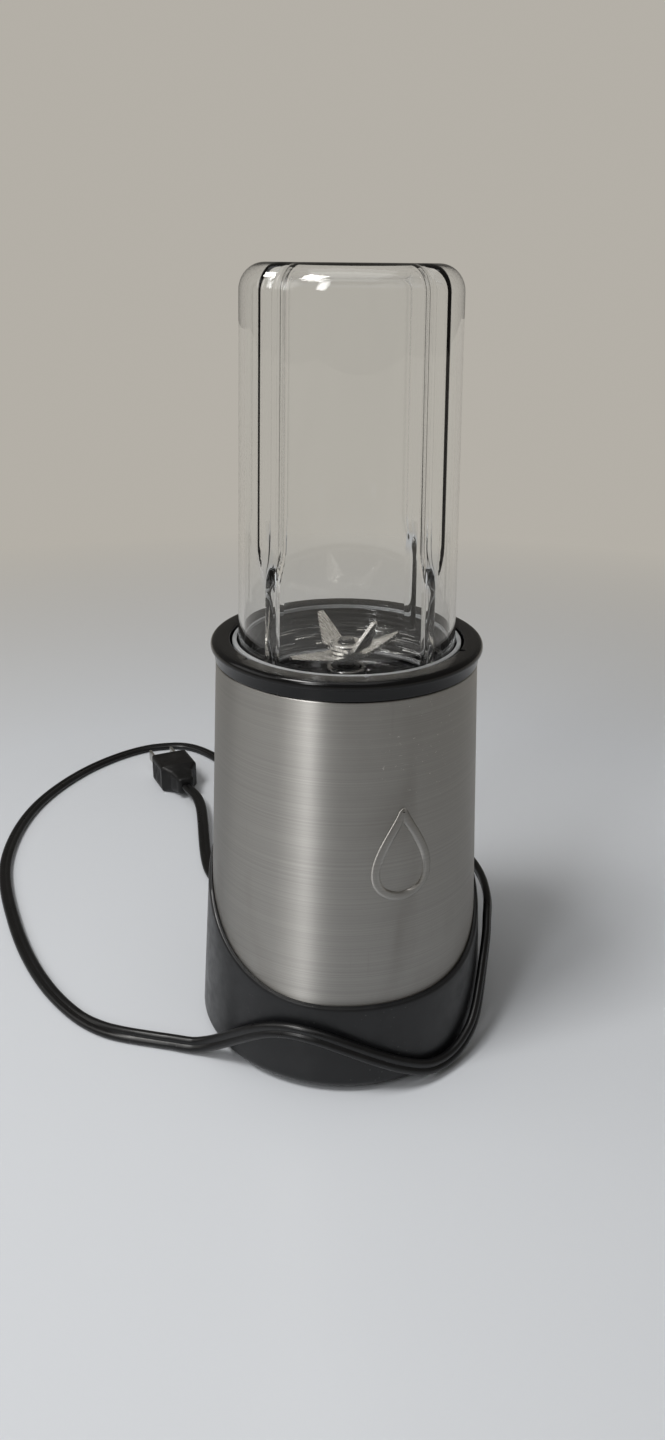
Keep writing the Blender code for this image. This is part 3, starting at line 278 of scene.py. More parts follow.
def polar(radius: float, degrees: float, z: float = 0.0) -> Vector:
    """A point at a radius and an angle from the front, towards +X."""
    angle = math.radians(degrees)
    return Vector((radius * math.sin(angle), -radius * math.cos(angle), z))


def bearing(point: Vector) -> float:
    """The angle of a point round the machine, in degrees from the front."""
    return math.degrees(math.atan2(point.x, -point.y))


def with_radius(point: Vector, radius: float) -> Vector:
    """The point moved to another radius about Z."""
    now = point.xy.length
    return Vector((point.x * radius / now, point.y * radius / now, point.z))


def smooth(value: float, low: float, high: float) -> float:
    """0 at low, 1 at high, with an even run between them. Low may be above high."""
    share = min(1.0, max(0.0, (value - low) / (high - low)))
    return share * share * (3 - 2 * share)


def facing(point: Vector, degrees: float) -> Matrix:
    """A placement at a point whose Z axis points outwards at an angle."""
    turn = polar(1.0, degrees).to_track_quat("Z", "Y").to_matrix().to_4x4()
    return Matrix.Translation(point) @ turn


def heights(low: float, high: float, step: float) -> list[float]:
    """Even heights from low to high, about a step apart, both ends included."""
    count = max(1, round((high - low) / step))
    return [low + (high - low) * i / count for i in range(count + 1)]


# ---------------------------------------------------------------- finishes
class Shader:
    """Builds the nodes of one material around its Principled BSDF."""

    def __init__(self, name: str) -> None:
        """Start a material with Object coordinates at hand.

        Args:
            name: The material's name.
        """
        self.material = bpy.data.materials.new(name)
        self.material.use_nodes = True
        self.tree = self.material.node_tree
        self.base = self.tree.nodes["Principled BSDF"]
        self.place = self.node("ShaderNodeTexCoord").outputs["Object"]

    def node(self, kind: str, **settings: object) -> bpy.types.Node:
        """Add a node and set its properties.

        Args:
            kind: The node's type.
            **settings: A value for each property.

        Returns:
            The new node.
        """
        made = self.tree.nodes.new(kind)
        for key, value in settings.items():
            setattr(made, key, value)
        return made

    def feed(self, node: bpy.types.Node, **values: object) -> bpy.types.Node:
        """Set or link a node's inputs, named with underscores for spaces.

        Args:
            node: The node to feed.
            **values: A number, colour or output socket for each input.

        Returns:
            The same node.
        """
        for key, value in values.items():
            socket = node.inputs[key.replace("_", " ")]
            if isinstance(value, bpy.types.NodeSocket):
                self.tree.links.new(value, socket)
            else:
                socket.default_value = value
        return node

    def stretched(self, scale: tuple[float, float, float]) -> bpy.types.NodeSocket:
        """Object coordinates scaled along each axis."""
        return self.feed(self.node("ShaderNodeMapping"), Vector=self.place, Scale=scale).outputs["Vector"]

    def noise(self, scale: float, detail: float = 3.0, vector: Optional[bpy.types.NodeSocket] = None,
              distortion: float = 0.0) -> bpy.types.NodeSocket:
        """Cloudy noise.

        Args:
            scale: Cycles for each metre.
            detail: Octaves.
            vector: Coordinates, or the object's own.
            distortion: How far it swirls.

        Returns:
            The noise's factor.
        """
        made = self.node("ShaderNodeTexNoise")
        self.feed(made, Vector=vector or self.place, Scale=scale, Detail=detail, Distortion=distortion)
        return made.outputs["Fac"]

    def specks(self, scale: float, size: float) -> bpy.types.NodeSocket:
        """Round specks, 1 inside each and 0 outside."""
        made = self.feed(self.node("ShaderNodeTexVoronoi"), Vector=self.place, Scale=scale, Randomness=1.0)
        return self.ramp(made.outputs["Distance"], size, size * 0.6, 0.0, 1.0)

    def ramp(self, value: bpy.types.NodeSocket, low: float, high: float, start: float = 0.0,
             end: float = 1.0) -> bpy.types.NodeSocket:
        """Map a factor from one range to another, clamped.

        Args:
            value: The factor.
            low: What becomes start.
            high: What becomes end.
            start: Result at low.
            end: Result at high.

        Returns:
            The mapped factor.
        """
        made = self.node("ShaderNodeMapRange", clamp=True)
        self.feed(made, Value=value, From_Min=low, From_Max=high, To_Min=start, To_Max=end)
        return made.outputs["Result"]

    def math(self, operation: str, first: object, second: object) -> bpy.types.NodeSocket:
        """Combine two values.

        Args:
            operation: The Math node's operation.
            first: A number or a socket.
            second: A number or a socket.

        Returns:
            The result.
        """
        made = self.node("ShaderNodeMath", operation=operation)
        for socket, value in zip(made.inputs, (first, second)):
            if isinstance(value, bpy.types.NodeSocket):
                self.tree.links.new(value, socket)
            else:
                socket.default_value = value
        return made.outputs["Value"]

    def blend(self, share: bpy.types.NodeSocket, first: object, second: object) -> bpy.types.NodeSocket:
        """Mix two colours by a share.

        Args:
            share: 0 for the first and 1 for the second.
            first: A colour or a socket.
            second: A colour or a socket.

        Returns:
            The mixed colour.
        """
        made = self.node("ShaderNodeMix", data_type="RGBA")
        self.tree.links.new(share, made.inputs[0])
        for socket, value in ((made.inputs[6], first), (made.inputs[7], second)):
            if isinstance(value, bpy.types.NodeSocket):
                self.tree.links.new(value, socket)
            else:
                socket.default_value = (*value, 1.0)
        return made.outputs[2]

    def bump(self, height: bpy.types.NodeSocket, depth: float, strength: float = 1.0,
             under: Optional[bpy.types.NodeSocket] = None) -> bpy.types.NodeSocket:
        """Turn a height into a normal, over another one if given.

        Args:
            height: The height's factor.
            depth: What a factor of 1 is worth, in metres.
            strength: Overall share.
            under: A normal to add to.

        Returns:
            The normal.
        """
        made = self.feed(self.node("ShaderNodeBump"), Height=height, Distance=depth, Strength=strength)
        if under:
            self.tree.links.new(under, made.inputs["Normal"])
        return made.outputs["Normal"]


@dataclass(frozen=True)
class Moulded:
    """Moulded plastic or rubber: cloudy colour and gloss, a fine grain, and settled dust."""

    name: str
    colour: Colour
    roughness: float
    spread: float = 0.07
    grain: float = 2600.0
    grain_depth: float = 0.00002
    dust: float = 0.25
    dust_colour: Colour = (0.30, 0.30, 0.29)
    dust_scale: float = 420.0
    gleam: float = 0.5

    def make(self) -> bpy.types.Material:
        """Build the material.

        Returns:
            The finished material.
        """
        s = Shader(self.name)
        cloud = s.noise(38.0, 5.0)
        deep = tuple(0.75 * c for c in self.colour)
        pale = tuple(min(1.0, 1.35 * c) for c in self.colour)
        colour = s.blend(s.ramp(cloud, 0.3, 0.7), deep, pale)
        specks = s.math("MULTIPLY", s.specks(self.dust_scale, 0.16), s.ramp(s.noise(55.0, 2.0), 0.48, 0.62))
        film = s.ramp(s.noise(140.0, 6.0, distortion=0.4), 0.52, 0.80, 0.0, 0.10)
        dust = s.math("MULTIPLY", s.math("MAXIMUM", specks, film), self.dust)
        rough = s.ramp(s.noise(210.0, 4.0), 0.3, 0.7, self.roughness - self.spread,
                       self.roughness + self.spread)
        grain = s.bump(s.noise(self.grain, 2.0), self.grain_depth, 0.6)
        s.feed(s.base, Base_Color=s.blend(dust, colour, self.dust_colour),
               Roughness=s.math("ADD", rough, s.math("MULTIPLY", dust, 0.5)),
               Normal=s.bump(specks, 0.00003, 0.4, grain), Specular_IOR_Level=self.gleam)
        return s.material


@dataclass(frozen=True)
class Turned:
    """Turned or plated metal: fine rings from the tool, stains and small pits."""

    name: str
    colour: Colour
    roughness: float
    ring_scale: float = 5200.0
    pits: float = 0.2
    stain: Colour = (0.16, 0.14, 0.12)

    def make(self) -> bpy.types.Material:
        """Build the material.

        Returns:
            The finished material.
        """
        s = Shader(self.name)
        rings = s.noise(1.0, 2.0, s.stretched((30.0, 30.0, self.ring_scale)))
        cloud = s.ramp(s.noise(170.0, 6.0, distortion=0.6), 0.45, 0.75)
        pits = s.math("MULTIPLY", s.specks(900.0, 0.13), self.pits)
        worn = tuple(0.72 * c for c in self.colour)
        colour = s.blend(cloud, self.colour, worn)
        rough = s.ramp(rings, 0.25, 0.75, self.roughness - 0.07, self.roughness + 0.09)
        s.feed(s.base, Base_Color=s.blend(pits, colour, self.stain), Metallic=1.0,
               Roughness=s.math("ADD", rough, s.math("MULTIPLY", cloud, 0.12)),
               Normal=s.bump(rings, 0.000006, 0.5))
        return s.material


@dataclass(frozen=True)
class BrushedSteel:
    """Sleeve steel, brushed round its length, with stains, fine scratches and dried splashes. Its base and
    worn colours are darkened all over as painted shade for the dim room that the steel mirrors.
    """

    name: str = "brushed_steel"
    # colour and worn are both darkened all over: painted shade for the dim room mirrored in the steel
    colour: Colour = (0.43, 0.42, 0.402)
    worn: Colour = (0.34, 0.332, 0.316)
    stain: Colour = (0.22, 0.20, 0.18)
    splash: Colour = (0.86, 0.85, 0.82)
    splash_at: tuple[float, float, float] = (0.016, -0.047, 0.134)
    splash_reach: tuple[float, float, float] = (0.019, 0.030, 0.021)

    def make(self) -> bpy.types.Material:
        """Build the material.

        Returns:
            The finished material.
        """
        s = Shader(self.name)
        lines = s.noise(1.0, 4.0, s.stretched((14.0, 14.0, 9000.0)))
        bands = s.noise(1.0, 2.0, s.stretched((5.0, 5.0, 2200.0)))
        brushed = s.math("ADD", s.math("MULTIPLY", lines, 0.6), s.math("MULTIPLY", bands, 0.4))
        # the brushed mix of the two colours is the steel's own grain; their darkness is painted shade
        colour = s.blend(s.ramp(brushed, 0.36, 0.64), self.worn, self.colour)
        tarnish = s.ramp(s.noise(1.0, 4.0, s.stretched((30.0, 30.0, 14.0)), 0.5), 0.55, 0.80, 0.0, 0.30)
        near = self._near_splash(s)
        drops = s.math("MULTIPLY", s.ramp(s.noise(760.0, 3.0, distortion=1.2), 0.68, 0.71), near)
        runs = s.ramp(s.noise(1.0, 4.0, s.stretched((420.0, 420.0, 16.0))), 0.66, 0.80, 0.0, 0.16)
        scratches = s.ramp(s.noise(1.0, 2.0, s.stretched((60.0, 900.0, 2400.0))), 0.74, 0.77, 0.0, 0.5)
        marks = s.math("MAXIMUM", s.math("MULTIPLY", scratches, near), drops)
        colour = s.blend(s.math("MAXIMUM", tarnish, runs), colour, self.stain)
        colour = s.blend(marks, colour, self.splash)
        rough = s.ramp(brushed, 0.3, 0.7, 0.37, 0.43)
        rough = s.math("ADD", rough, s.math("MULTIPLY", tarnish, 0.18))
        rough = s.math("ADD", rough, s.math("MULTIPLY", marks, 0.25))
        tangent = s.node("ShaderNodeTangent", direction_type="RADIAL", axis="Z")
        s.feed(s.base, Base_Color=colour, Metallic=1.0, Roughness=rough, Anisotropic=0.94,
               Anisotropic_Rotation=0.25, Tangent=tangent.outputs["Tangent"],
               Normal=s.bump(brushed, 0.000004, 0.35))
        return s.material

    def _near_splash(self, s: Shader) -> bpy.types.NodeSocket:
        """1 in the middle of the splashed patch, running out to 0 at its edge.

        Args:
            s: The material's shader.

        Returns:
            The share of the patch at each place.
        """
        away = s.node("ShaderNodeVectorMath", operation="SUBTRACT")
        s.tree.links.new(s.place, away.inputs[0])
        away.inputs[1].default_value = self.splash_at
        scaled = s.node("ShaderNodeVectorMath", operation="DIVIDE")
        s.tree.links.new(away.outputs[0], scaled.inputs[0])
        scaled.inputs[1].default_value = self.splash_reach
        length = s.node("ShaderNodeVectorMath", operation="LENGTH")
        s.tree.links.new(scaled.outputs[0], length.inputs[0])
        return s.ramp(length.outputs["Value"], 1.25, 0.35)


@dataclass(frozen=True)
class GroundSteel:
    """Blade steel: bright, with grinding lines across and a little wear."""

    name: str = "blade_steel"
    colour: Colour = (0.63, 0.62, 0.60)
    dark: Colour = (0.36, 0.35, 0.34)

    def make(self) -> bpy.types.Material:
        """Build the material.

        Returns:
            The finished material.
        """
        s = Shader(self.name)
        lines = s.noise(1.0, 4.0, s.stretched((420.0, 3300.0, 420.0)))
        cloud = s.noise(240.0, 5.0, distortion=0.7)
        colour = s.blend(s.ramp(lines, 0.35, 0.65), self.dark, self.colour)
        colour = s.blend(s.ramp(cloud, 0.58, 0.8, 0.0, 0.4), colour, self.dark)
        s.feed(s.base, Base_Color=colour, Metallic=1.0,
               Roughness=s.ramp(s.math("ADD", lines, cloud), 0.7, 1.4, 0.20, 0.38),
               Normal=s.bump(lines, 0.000008, 0.5))
        return s.material


@dataclass(frozen=True)
class ClearPlastic:
    """Clear cup plastic with wipe marks and hairline scratches. It lets light through to what it covers."""

    name: str = "clear_plastic"
    colour: Colour = (0.975, 0.98, 0.98)
    smear_colour: Colour = (0.955, 0.96, 0.96)
    shade: float = 0.14

    def make(self) -> bpy.types.Material:
        """Build the material.

        Returns:
            The finished material.
        """
        s = Shader(self.name)
        smear = s.ramp(s.noise(1.0, 4.0, s.stretched((60.0, 60.0, 16.0)), 0.8), 0.45, 0.75)
        scratches = s.ramp(s.noise(1.0, 2.0, s.stretched((900.0, 900.0, 40.0))), 0.72, 0.78)
        rough = s.math("ADD", s.math("MULTIPLY", smear, 0.02), s.math("MULTIPLY", scratches, 0.10))
        shadow = s.node("ShaderNodeLightPath").outputs["Is Shadow Ray"]
        s.feed(s.base, Base_Color=s.blend(smear, self.colour, self.smear_colour), Roughness=rough,
               IOR=1.49, Transmission_Weight=1.0, Alpha=s.ramp(shadow, 0.0, 1.0, 1.0, self.shade))
        return s.material


@dataclass(frozen=True)
class Laminated:
    """A stack of thin iron sheets seen from the side."""

    name: str = "laminated_iron"
    colour: Colour = (0.30, 0.29, 0.28)
    seam: Colour = (0.06, 0.055, 0.05)

    def make(self) -> bpy.types.Material:
        """Build the material.

        Returns:
            The finished material.
        """
        s = Shader(self.name)
        wave = s.node("ShaderNodeTexWave", bands_direction="Z")
        s.feed(wave, Vector=s.place, Scale=310.0, Distortion=0.2, Detail=1.0)
        sheets = s.ramp(wave.outputs["Fac"], 0.25, 0.6)
        rust = s.ramp(s.noise(160.0, 5.0), 0.55, 0.8, 0.0, 0.5)
        colour = s.blend(sheets, self.seam, self.colour)
        s.feed(s.base, Base_Color=s.blend(rust, colour, (0.15, 0.07, 0.035)), Metallic=0.85,
               Roughness=s.ramp(s.noise(420.0), 0.3, 0.7, 0.38, 0.6),
               Normal=s.bump(sheets, 0.00008, 0.7))
        return s.material


@dataclass(frozen=True)
class Wound:
    """Enamelled copper wire laid side by side."""

    name: str = "enamelled_copper"
    colour: Colour = (0.50, 0.19, 0.065)
    gap: Colour = (0.09, 0.03, 0.012)
    axis: str = "X"
    scale: float = 240.0

    def make(self) -> bpy.types.Material:
        """Build the material.

        Returns:
            The finished material.
        """
        s = Shader(self.name)
        wave = s.node("ShaderNodeTexWave", bands_direction=self.axis)
        s.feed(wave, Vector=s.place, Scale=self.scale, Distortion=1.1, Detail=2.0)
        wires = s.ramp(wave.outputs["Fac"], 0.15, 0.7)
        colour = s.blend(wires, self.gap, self.colour)
        s.feed(s.base, Base_Color=colour, Metallic=0.9, Coat_Weight=0.6, Coat_Roughness=0.2,
               Roughness=s.ramp(s.noise(700.0), 0.3, 0.7, 0.25, 0.42),
               Normal=s.bump(wires, 0.00018, 0.8))
        return s.material


@dataclass(frozen=True)
class Printed:
    """A green circuit board with tracks and pads."""

    name: str = "circuit_board"
    colour: Colour = (0.02, 0.14, 0.055)
    track: Colour = (0.05, 0.30, 0.13)
    pad: Colour = (0.62, 0.60, 0.55)

    def make(self) -> bpy.types.Material:
        """Build the material.

        Returns:
            The finished material.
        """
        s = Shader(self.name)
        brick_work = s.feed(s.node("ShaderNodeTexBrick"), Vector=s.place, Scale=260.0, Mortar_Size=0.05)
        tracks = s.ramp(brick_work.outputs["Fac"], 0.3, 0.7)
        pads = s.specks(380.0, 0.22)
        colour = s.blend(tracks, self.colour, self.track)
        s.feed(s.base, Base_Color=s.blend(pads, colour, self.pad), Metallic=0.0,
               Roughness=s.ramp(s.noise(300.0), 0.3, 0.7, 0.28, 0.45),
               Normal=s.bump(s.math("MAXIMUM", tracks, pads), 0.00005, 0.6))
        return s.material


class Finishes:
    """Every finish of the machine, made once."""

    def __init__(self) -> None:
        """Build the materials, by slot name."""
        self.made = {finish.name: finish.make() for finish in (
            ClearPlastic(),
            BrushedSteel(),
            GroundSteel(),
            Moulded("black_plastic", (0.0060, 0.0063, 0.0072), 0.36, dust=0.12, gleam=0.42),
            Moulded("gloss_black_plastic", (0.0028, 0.0028, 0.0032), 0.15, 0.04, dust=0.045, gleam=0.30),
            Moulded("black_rubber", (0.009, 0.009, 0.009), 0.60, grain_depth=0.00004, dust=0.20),
            Moulded("cord_jacket", (0.0045, 0.0045, 0.0050), 0.33, 0.06, grain=1500.0, dust=0.10, gleam=0.40),
            Moulded("plug_plastic", (0.0045, 0.0045, 0.0048), 0.46, 0.08, grain_depth=0.00005, dust=0.34,
                    dust_scale=300.0, gleam=0.30),
            Moulded("rim_plastic", (0.20, 0.205, 0.21), 0.42, dust=0.15),
            Moulded("grey_rubber", (0.060, 0.061, 0.063), 0.50, dust=0.10),
            Moulded("white_plastic", (0.74, 0.73, 0.69), 0.38, dust=0.10),
            Moulded("carbon", (0.028, 0.028, 0.030), 0.55, grain_depth=0.00006, dust=0.5),
            Turned("zinc_plate", (0.60, 0.59, 0.56), 0.30),
            # this polished metal is coloured dark: a painted dark reflection of the dim room, not the metal's
            # own tone
            Turned("dark_steel", (0.17, 0.167, 0.165), 0.22),
            Turned("sintered_bronze", (0.44, 0.29, 0.13), 0.45, pits=0.6, stain=(0.10, 0.06, 0.03)),
            Turned("commutator_copper", (0.62, 0.27, 0.13), 0.30),
            Laminated(),
            Wound(),
            Printed(),
        )}

    def dress(self, piece: bpy.types.Object, finish: str) -> None:
        """Give a piece one finish all over.

        Args:
            piece: The piece to dress.
            finish: The finish's name.
        """
        if piece.material_slots:
            for slot in piece.material_slots:
                slot.material = self.made[finish]
        else:
            piece.data.materials.append(self.made[finish])


# ---------------------------------------------------------------- shared behaviour of sub-assemblies
@dataclass
class Assembly:
    """A sub-assembly that builds its pieces, dresses them and puts them on their bodies."""

    finishes: Finishes

    def add(self, piece: bpy.types.Object, finish: str, body: str, slot: str,
            *nodes: str) -> bpy.types.Object:
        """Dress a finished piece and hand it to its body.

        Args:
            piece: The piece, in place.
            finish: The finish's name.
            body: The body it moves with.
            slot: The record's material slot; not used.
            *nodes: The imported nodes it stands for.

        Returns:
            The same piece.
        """
        self.finishes.dress(piece, finish)
        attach(piece, body)
        if nodes:
            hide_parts(*nodes)
        log.info("%s: %d faces on %s", piece.name, len(piece.data.polygons), body)
        return piece


@dataclass
class Housing(Assembly):
    """Steel sleeve, black skirt, top ring, emblem and the screws under the machine."""

    sleeve_radius: float = 0.0512
    sleeve_height: float = 0.0705
    sleeve_taper: float = 0.046
    sleeve_wall: float = 0.0008
    skirt_radius: float = 0.0572
    skirt_taper: float = 0.065
    skirt_wall: float = 0.0034
    skirt_edge: float = 0.0032
    lip: float = 0.0007
    rim_low: float = 0.0366
    rim_rise: float = 0.052
    rim_shape: float = 2.4
    rim_power: float = 1.9
    ring_inner: float = 0.0422
    ring_outer: float = 0.0491
    ring_band: float = 0.0479
    ring_lip: float = 0.0030
    ring_edge: float = 0.0019
    notches: int = 6
    notch_turn: float = -3.0
    notch_size: float = 0.0024
    gap: float = 0.0003
    exit_angle: float = 175.0
    exit_height: float = 0.0500
    relief_radius: float = 0.0058

    def sleeve_at(self, z: float) -> float:
        """Outer radius of the sleeve at a height."""
        return self.sleeve_radius - self.sleeve_taper * (z - self.sleeve_height)

    def skirt_at(self, z: float) -> float:
        """Outer radius of the skirt at a height."""
        return self.skirt_radius - self.skirt_taper * z

    def rim_at(self, degrees: float) -> float:
        """Height of the skirt's rim at an angle from the front."""
        share = ((1 - math.cos(math.radians(degrees))) / 2) ** self.rim_power
        return self.rim_low + self.rim_rise * (1 - math.exp(-self.rim_shape * share))

    def exit_hole(self) -> bpy.types.Object:
        """Cutter for the cord's hole through skirt and sleeve.

        Returns:
            The cutter, in place.
        """
        hole = rod("exit_hole", self.relief_radius, -0.012, 0.012)
        hole.matrix_world = facing(polar(self.skirt_at(self.exit_height), self.exit_angle, self.exit_height),
                                   self.exit_angle)
        return settle(hole)

    def build_sleeve(self) -> None:
        """The steel sleeve, with its upper edge rolled in."""
        low, high = (corner.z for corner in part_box("steel_sleeve"))
        roll = self.sleeve_wall / 2
        top = self.sleeve_at(high)
        outline = [(self.sleeve_at(z), z) for z in heights(low, high - roll, 0.012)]
        outline += arc((top - roll, high - roll), roll, 0, 180, 6)
        outline += [(self.sleeve_at(low) - self.sleeve_wall, low)]
        sleeve = lathe("sleeve_shell", outline)
        combine(sleeve, self.exit_hole())
        self.add(settle(sleeve), "brushed_steel", "base", "brushed_steel", "steel_sleeve")

    def build_skirt(self) -> None:
        """The black skirt: turned with a level rim, then drawn up round the back."""
        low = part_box("base_skirt")[0].z
        inner_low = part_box("steel_sleeve")[0].z - self.gap
        edge_z = low + self.skirt_edge
        rim = self.rim_low
        outline = arc((self.skirt_at(edge_z) - self.skirt_edge, edge_z), self.skirt_edge, -90, 0, 8)
        outline += [(self.skirt_at(z), z) for z in heights(edge_z + 0.001, rim - 2 * self.lip, 0.0022)]
        outline += [
            (self.skirt_at(rim) - self.lip * 0.10, rim - self.lip),
            (self.skirt_at(rim) - self.lip * 0.55, rim - self.lip * 0.35),
            (self.skirt_at(rim) - self.lip * 1.6, rim),
            (self.sleeve_at(rim) + self.gap, rim),
        ]
        behind = (rim - self.lip, rim - 2 * self.lip, inner_low)
        outline += [(self.sleeve_at(z) + self.gap, z) for z in behind]
        outline += [(self.skirt_at(inner_low) - self.skirt_wall, inner_low),
                    (self.skirt_at(low) - self.skirt_wall, low)]
        skirt = lathe("skirt_shell", outline)
        start = inner_low + 0.0005
        lip_start = rim - 2.5 * self.lip

        def drawn_up(point: Vector) -> Vector:
            """Stretch what is above the sleeve's foot up to the rim.

            Args:
                point: A point of the skirt.

            Returns:
                Its new place.
            """
            if point.z <= start:
                return point
            raised = self.rim_at(bearing(point)) - rim
            share = min(1.0, (point.z - start) / (lip_start - start))
            z = point.z + raised * share
            middle = (self.skirt_at(point.z) + self.sleeve_at(point.z)) / 2
            edge = self.skirt_at if point.xy.length > middle else self.sleeve_at
            moved = with_radius(point, point.xy.length + edge(z) - edge(point.z))
            return Vector((moved.x, moved.y, z))

        reshape(skirt, drawn_up)
        combine(skirt, self.exit_hole())
        self.add(settle(skirt), "black_plastic", "base", "black_plastic", "base_skirt")

    def build_ring(self) -> None:
        """The top ring: a lipped ring with small three-cornered notches in its mouth."""
        low, high = (corner.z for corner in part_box("top_ring"))
        band_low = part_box("steel_sleeve")[1].z + self.gap
        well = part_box("well_liner")[1]
        spigot = self.sleeve_at(band_low) - self.sleeve_wall - self.gap
        lip = high - self.ring_lip
        outline = [(self.ring_inner, well.z + self.gap), (self.ring_inner, high - 0.0012)]
        outline += arc((self.ring_inner + 0.0006, high - 0.0006), 0.0006, 180, 90, 4)
        outline += arc((self.ring_outer - self.ring_edge, high - self.ring_edge), self.ring_edge, 90, 0, 8)
        outline += arc((self.ring_outer - 0.0005, lip + 0.0005), 0.0005, 0, -90, 3)
        outline += [(self.ring_band + 0.0002, lip), (self.ring_band, lip - 0.0004)]
        outline += arc((self.ring_band - 0.0007, band_low + 0.0005), 0.0005, 0, -90, 3)
        outline += [(spigot, band_low), (spigot, low), (well.x + self.gap, low),
                    (well.x + self.gap, well.z + self.gap)]
        ring = lathe("ring_shell", outline)
        for i in range(self.notches):
            angle = self.notch_turn + 360 * i / self.notches
            clear_selection()
            bpy.ops.mesh.primitive_cylinder_add(
                vertices=3, radius=self.notch_size, depth=0.0032,
                location=polar(self.ring_inner + self.notch_size * 0.05, angle, high),
                rotation=(0, 0, math.radians(angle + 180)))
            combine(ring, settle(named("notch")))
        self.add(settle(ring), "gloss_black_plastic", "base", "black_plastic", "top_ring")

    def build_emblem(self) -> None:
        """A generic drop, pressed out of the sleeve as one soft line."""
        low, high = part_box("emblem")
        middle = (low + high) / 2
        wire = 0.0017
        tall = high.z - low.z - 2 * wire
        wide = 0.0220
        turn = bearing(middle)
        count = 96
        clear_selection()
        bpy.ops.curve.primitive_bezier_circle_add(radius=tall / 2)
        drop = named("drop_emblem")
        drop.data.splines.remove(drop.data.splines[0])
        line = drop.data.splines.new("POLY")
        line.points.add(count - 1)
        for i in range(count):
            t = 2 * math.pi * i / count
            across = wide / 2 * math.sin(t) * math.sin(t / 2) ** 1.5 * 1.3
            z = middle.z + tall / 2 * math.cos(t)
            radius = self.sleeve_at(z)
            line.points[i].co = (*polar(radius, turn + math.degrees(across / radius), z), 1.0)
        line.use_cyclic_u = True
        drop.data.bevel_depth = wire
        drop.data.bevel_resolution = 4
        focus(drop)
        bpy.ops.object.convert(target="MESH")

        def pressed(point: Vector) -> Vector:
            """Flatten the line's cross-section against the sleeve."""
            surface = self.sleeve_at(point.z)
            return with_radius(point, surface + (point.xy.length - surface) * 0.36)

        reshape(drop, pressed)
        self.add(settle(drop, 60.0), "brushed_steel", "base", "brushed_steel", "emblem")

    def build_screws(self) -> None:
        """Cross-recess screws: one is modelled, and each place gets its own copy."""
        low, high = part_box("cover_screw_1")
        head_radius = (high.x - low.x) / 2
        head = 0.0014
        outline = [(0.0, low.z), (head_radius * 0.6, low.z), (head_radius * 0.93, low.z + 0.0004),
                   (head_radius, low.z + head), (head_radius / 2, low.z + head)]
        outline += [(head_radius / 2 * (1.0 if i % 2 else 0.86), low.z + head + 0.0005 * (i + 1))
                    for i in range(int((high.z - low.z - head) / 0.0005) - 1)]
        outline += [(0.0, high.z)]
        screw = lathe("screw_model", outline, 32)
        for turn in (0.0, 90.0):
            combine(screw, brick("cross", (head_radius * 1.2, 0.0006, 0.0016), Vector((0, 0, low.z)), turn))
        settle(screw)
        for i in range(3):
            node = f"cover_screw_{i + 1}"
            low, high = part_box(node)
            copy = screw.copy()
            copy.data = screw.data.copy()
            bpy.context.collection.objects.link(copy)
            copy.name = copy.data.name = f"cross_screw_{i + 1}"
            copy.location = ((low.x + high.x) / 2, (low.y + high.y) / 2, 0.0)
            copy.rotation_euler = (0, 0, math.radians(25 + 47 * i))
            self.add(settle(copy), "zinc_plate", "base", "zinc_plate", node)
        bpy.data.objects.remove(screw)

    def build(self) -> None:
        """Build every piece of the housing."""
        self.build_sleeve()
        self.build_skirt()
        self.build_ring()
        self.build_emblem()
        self.build_screws()


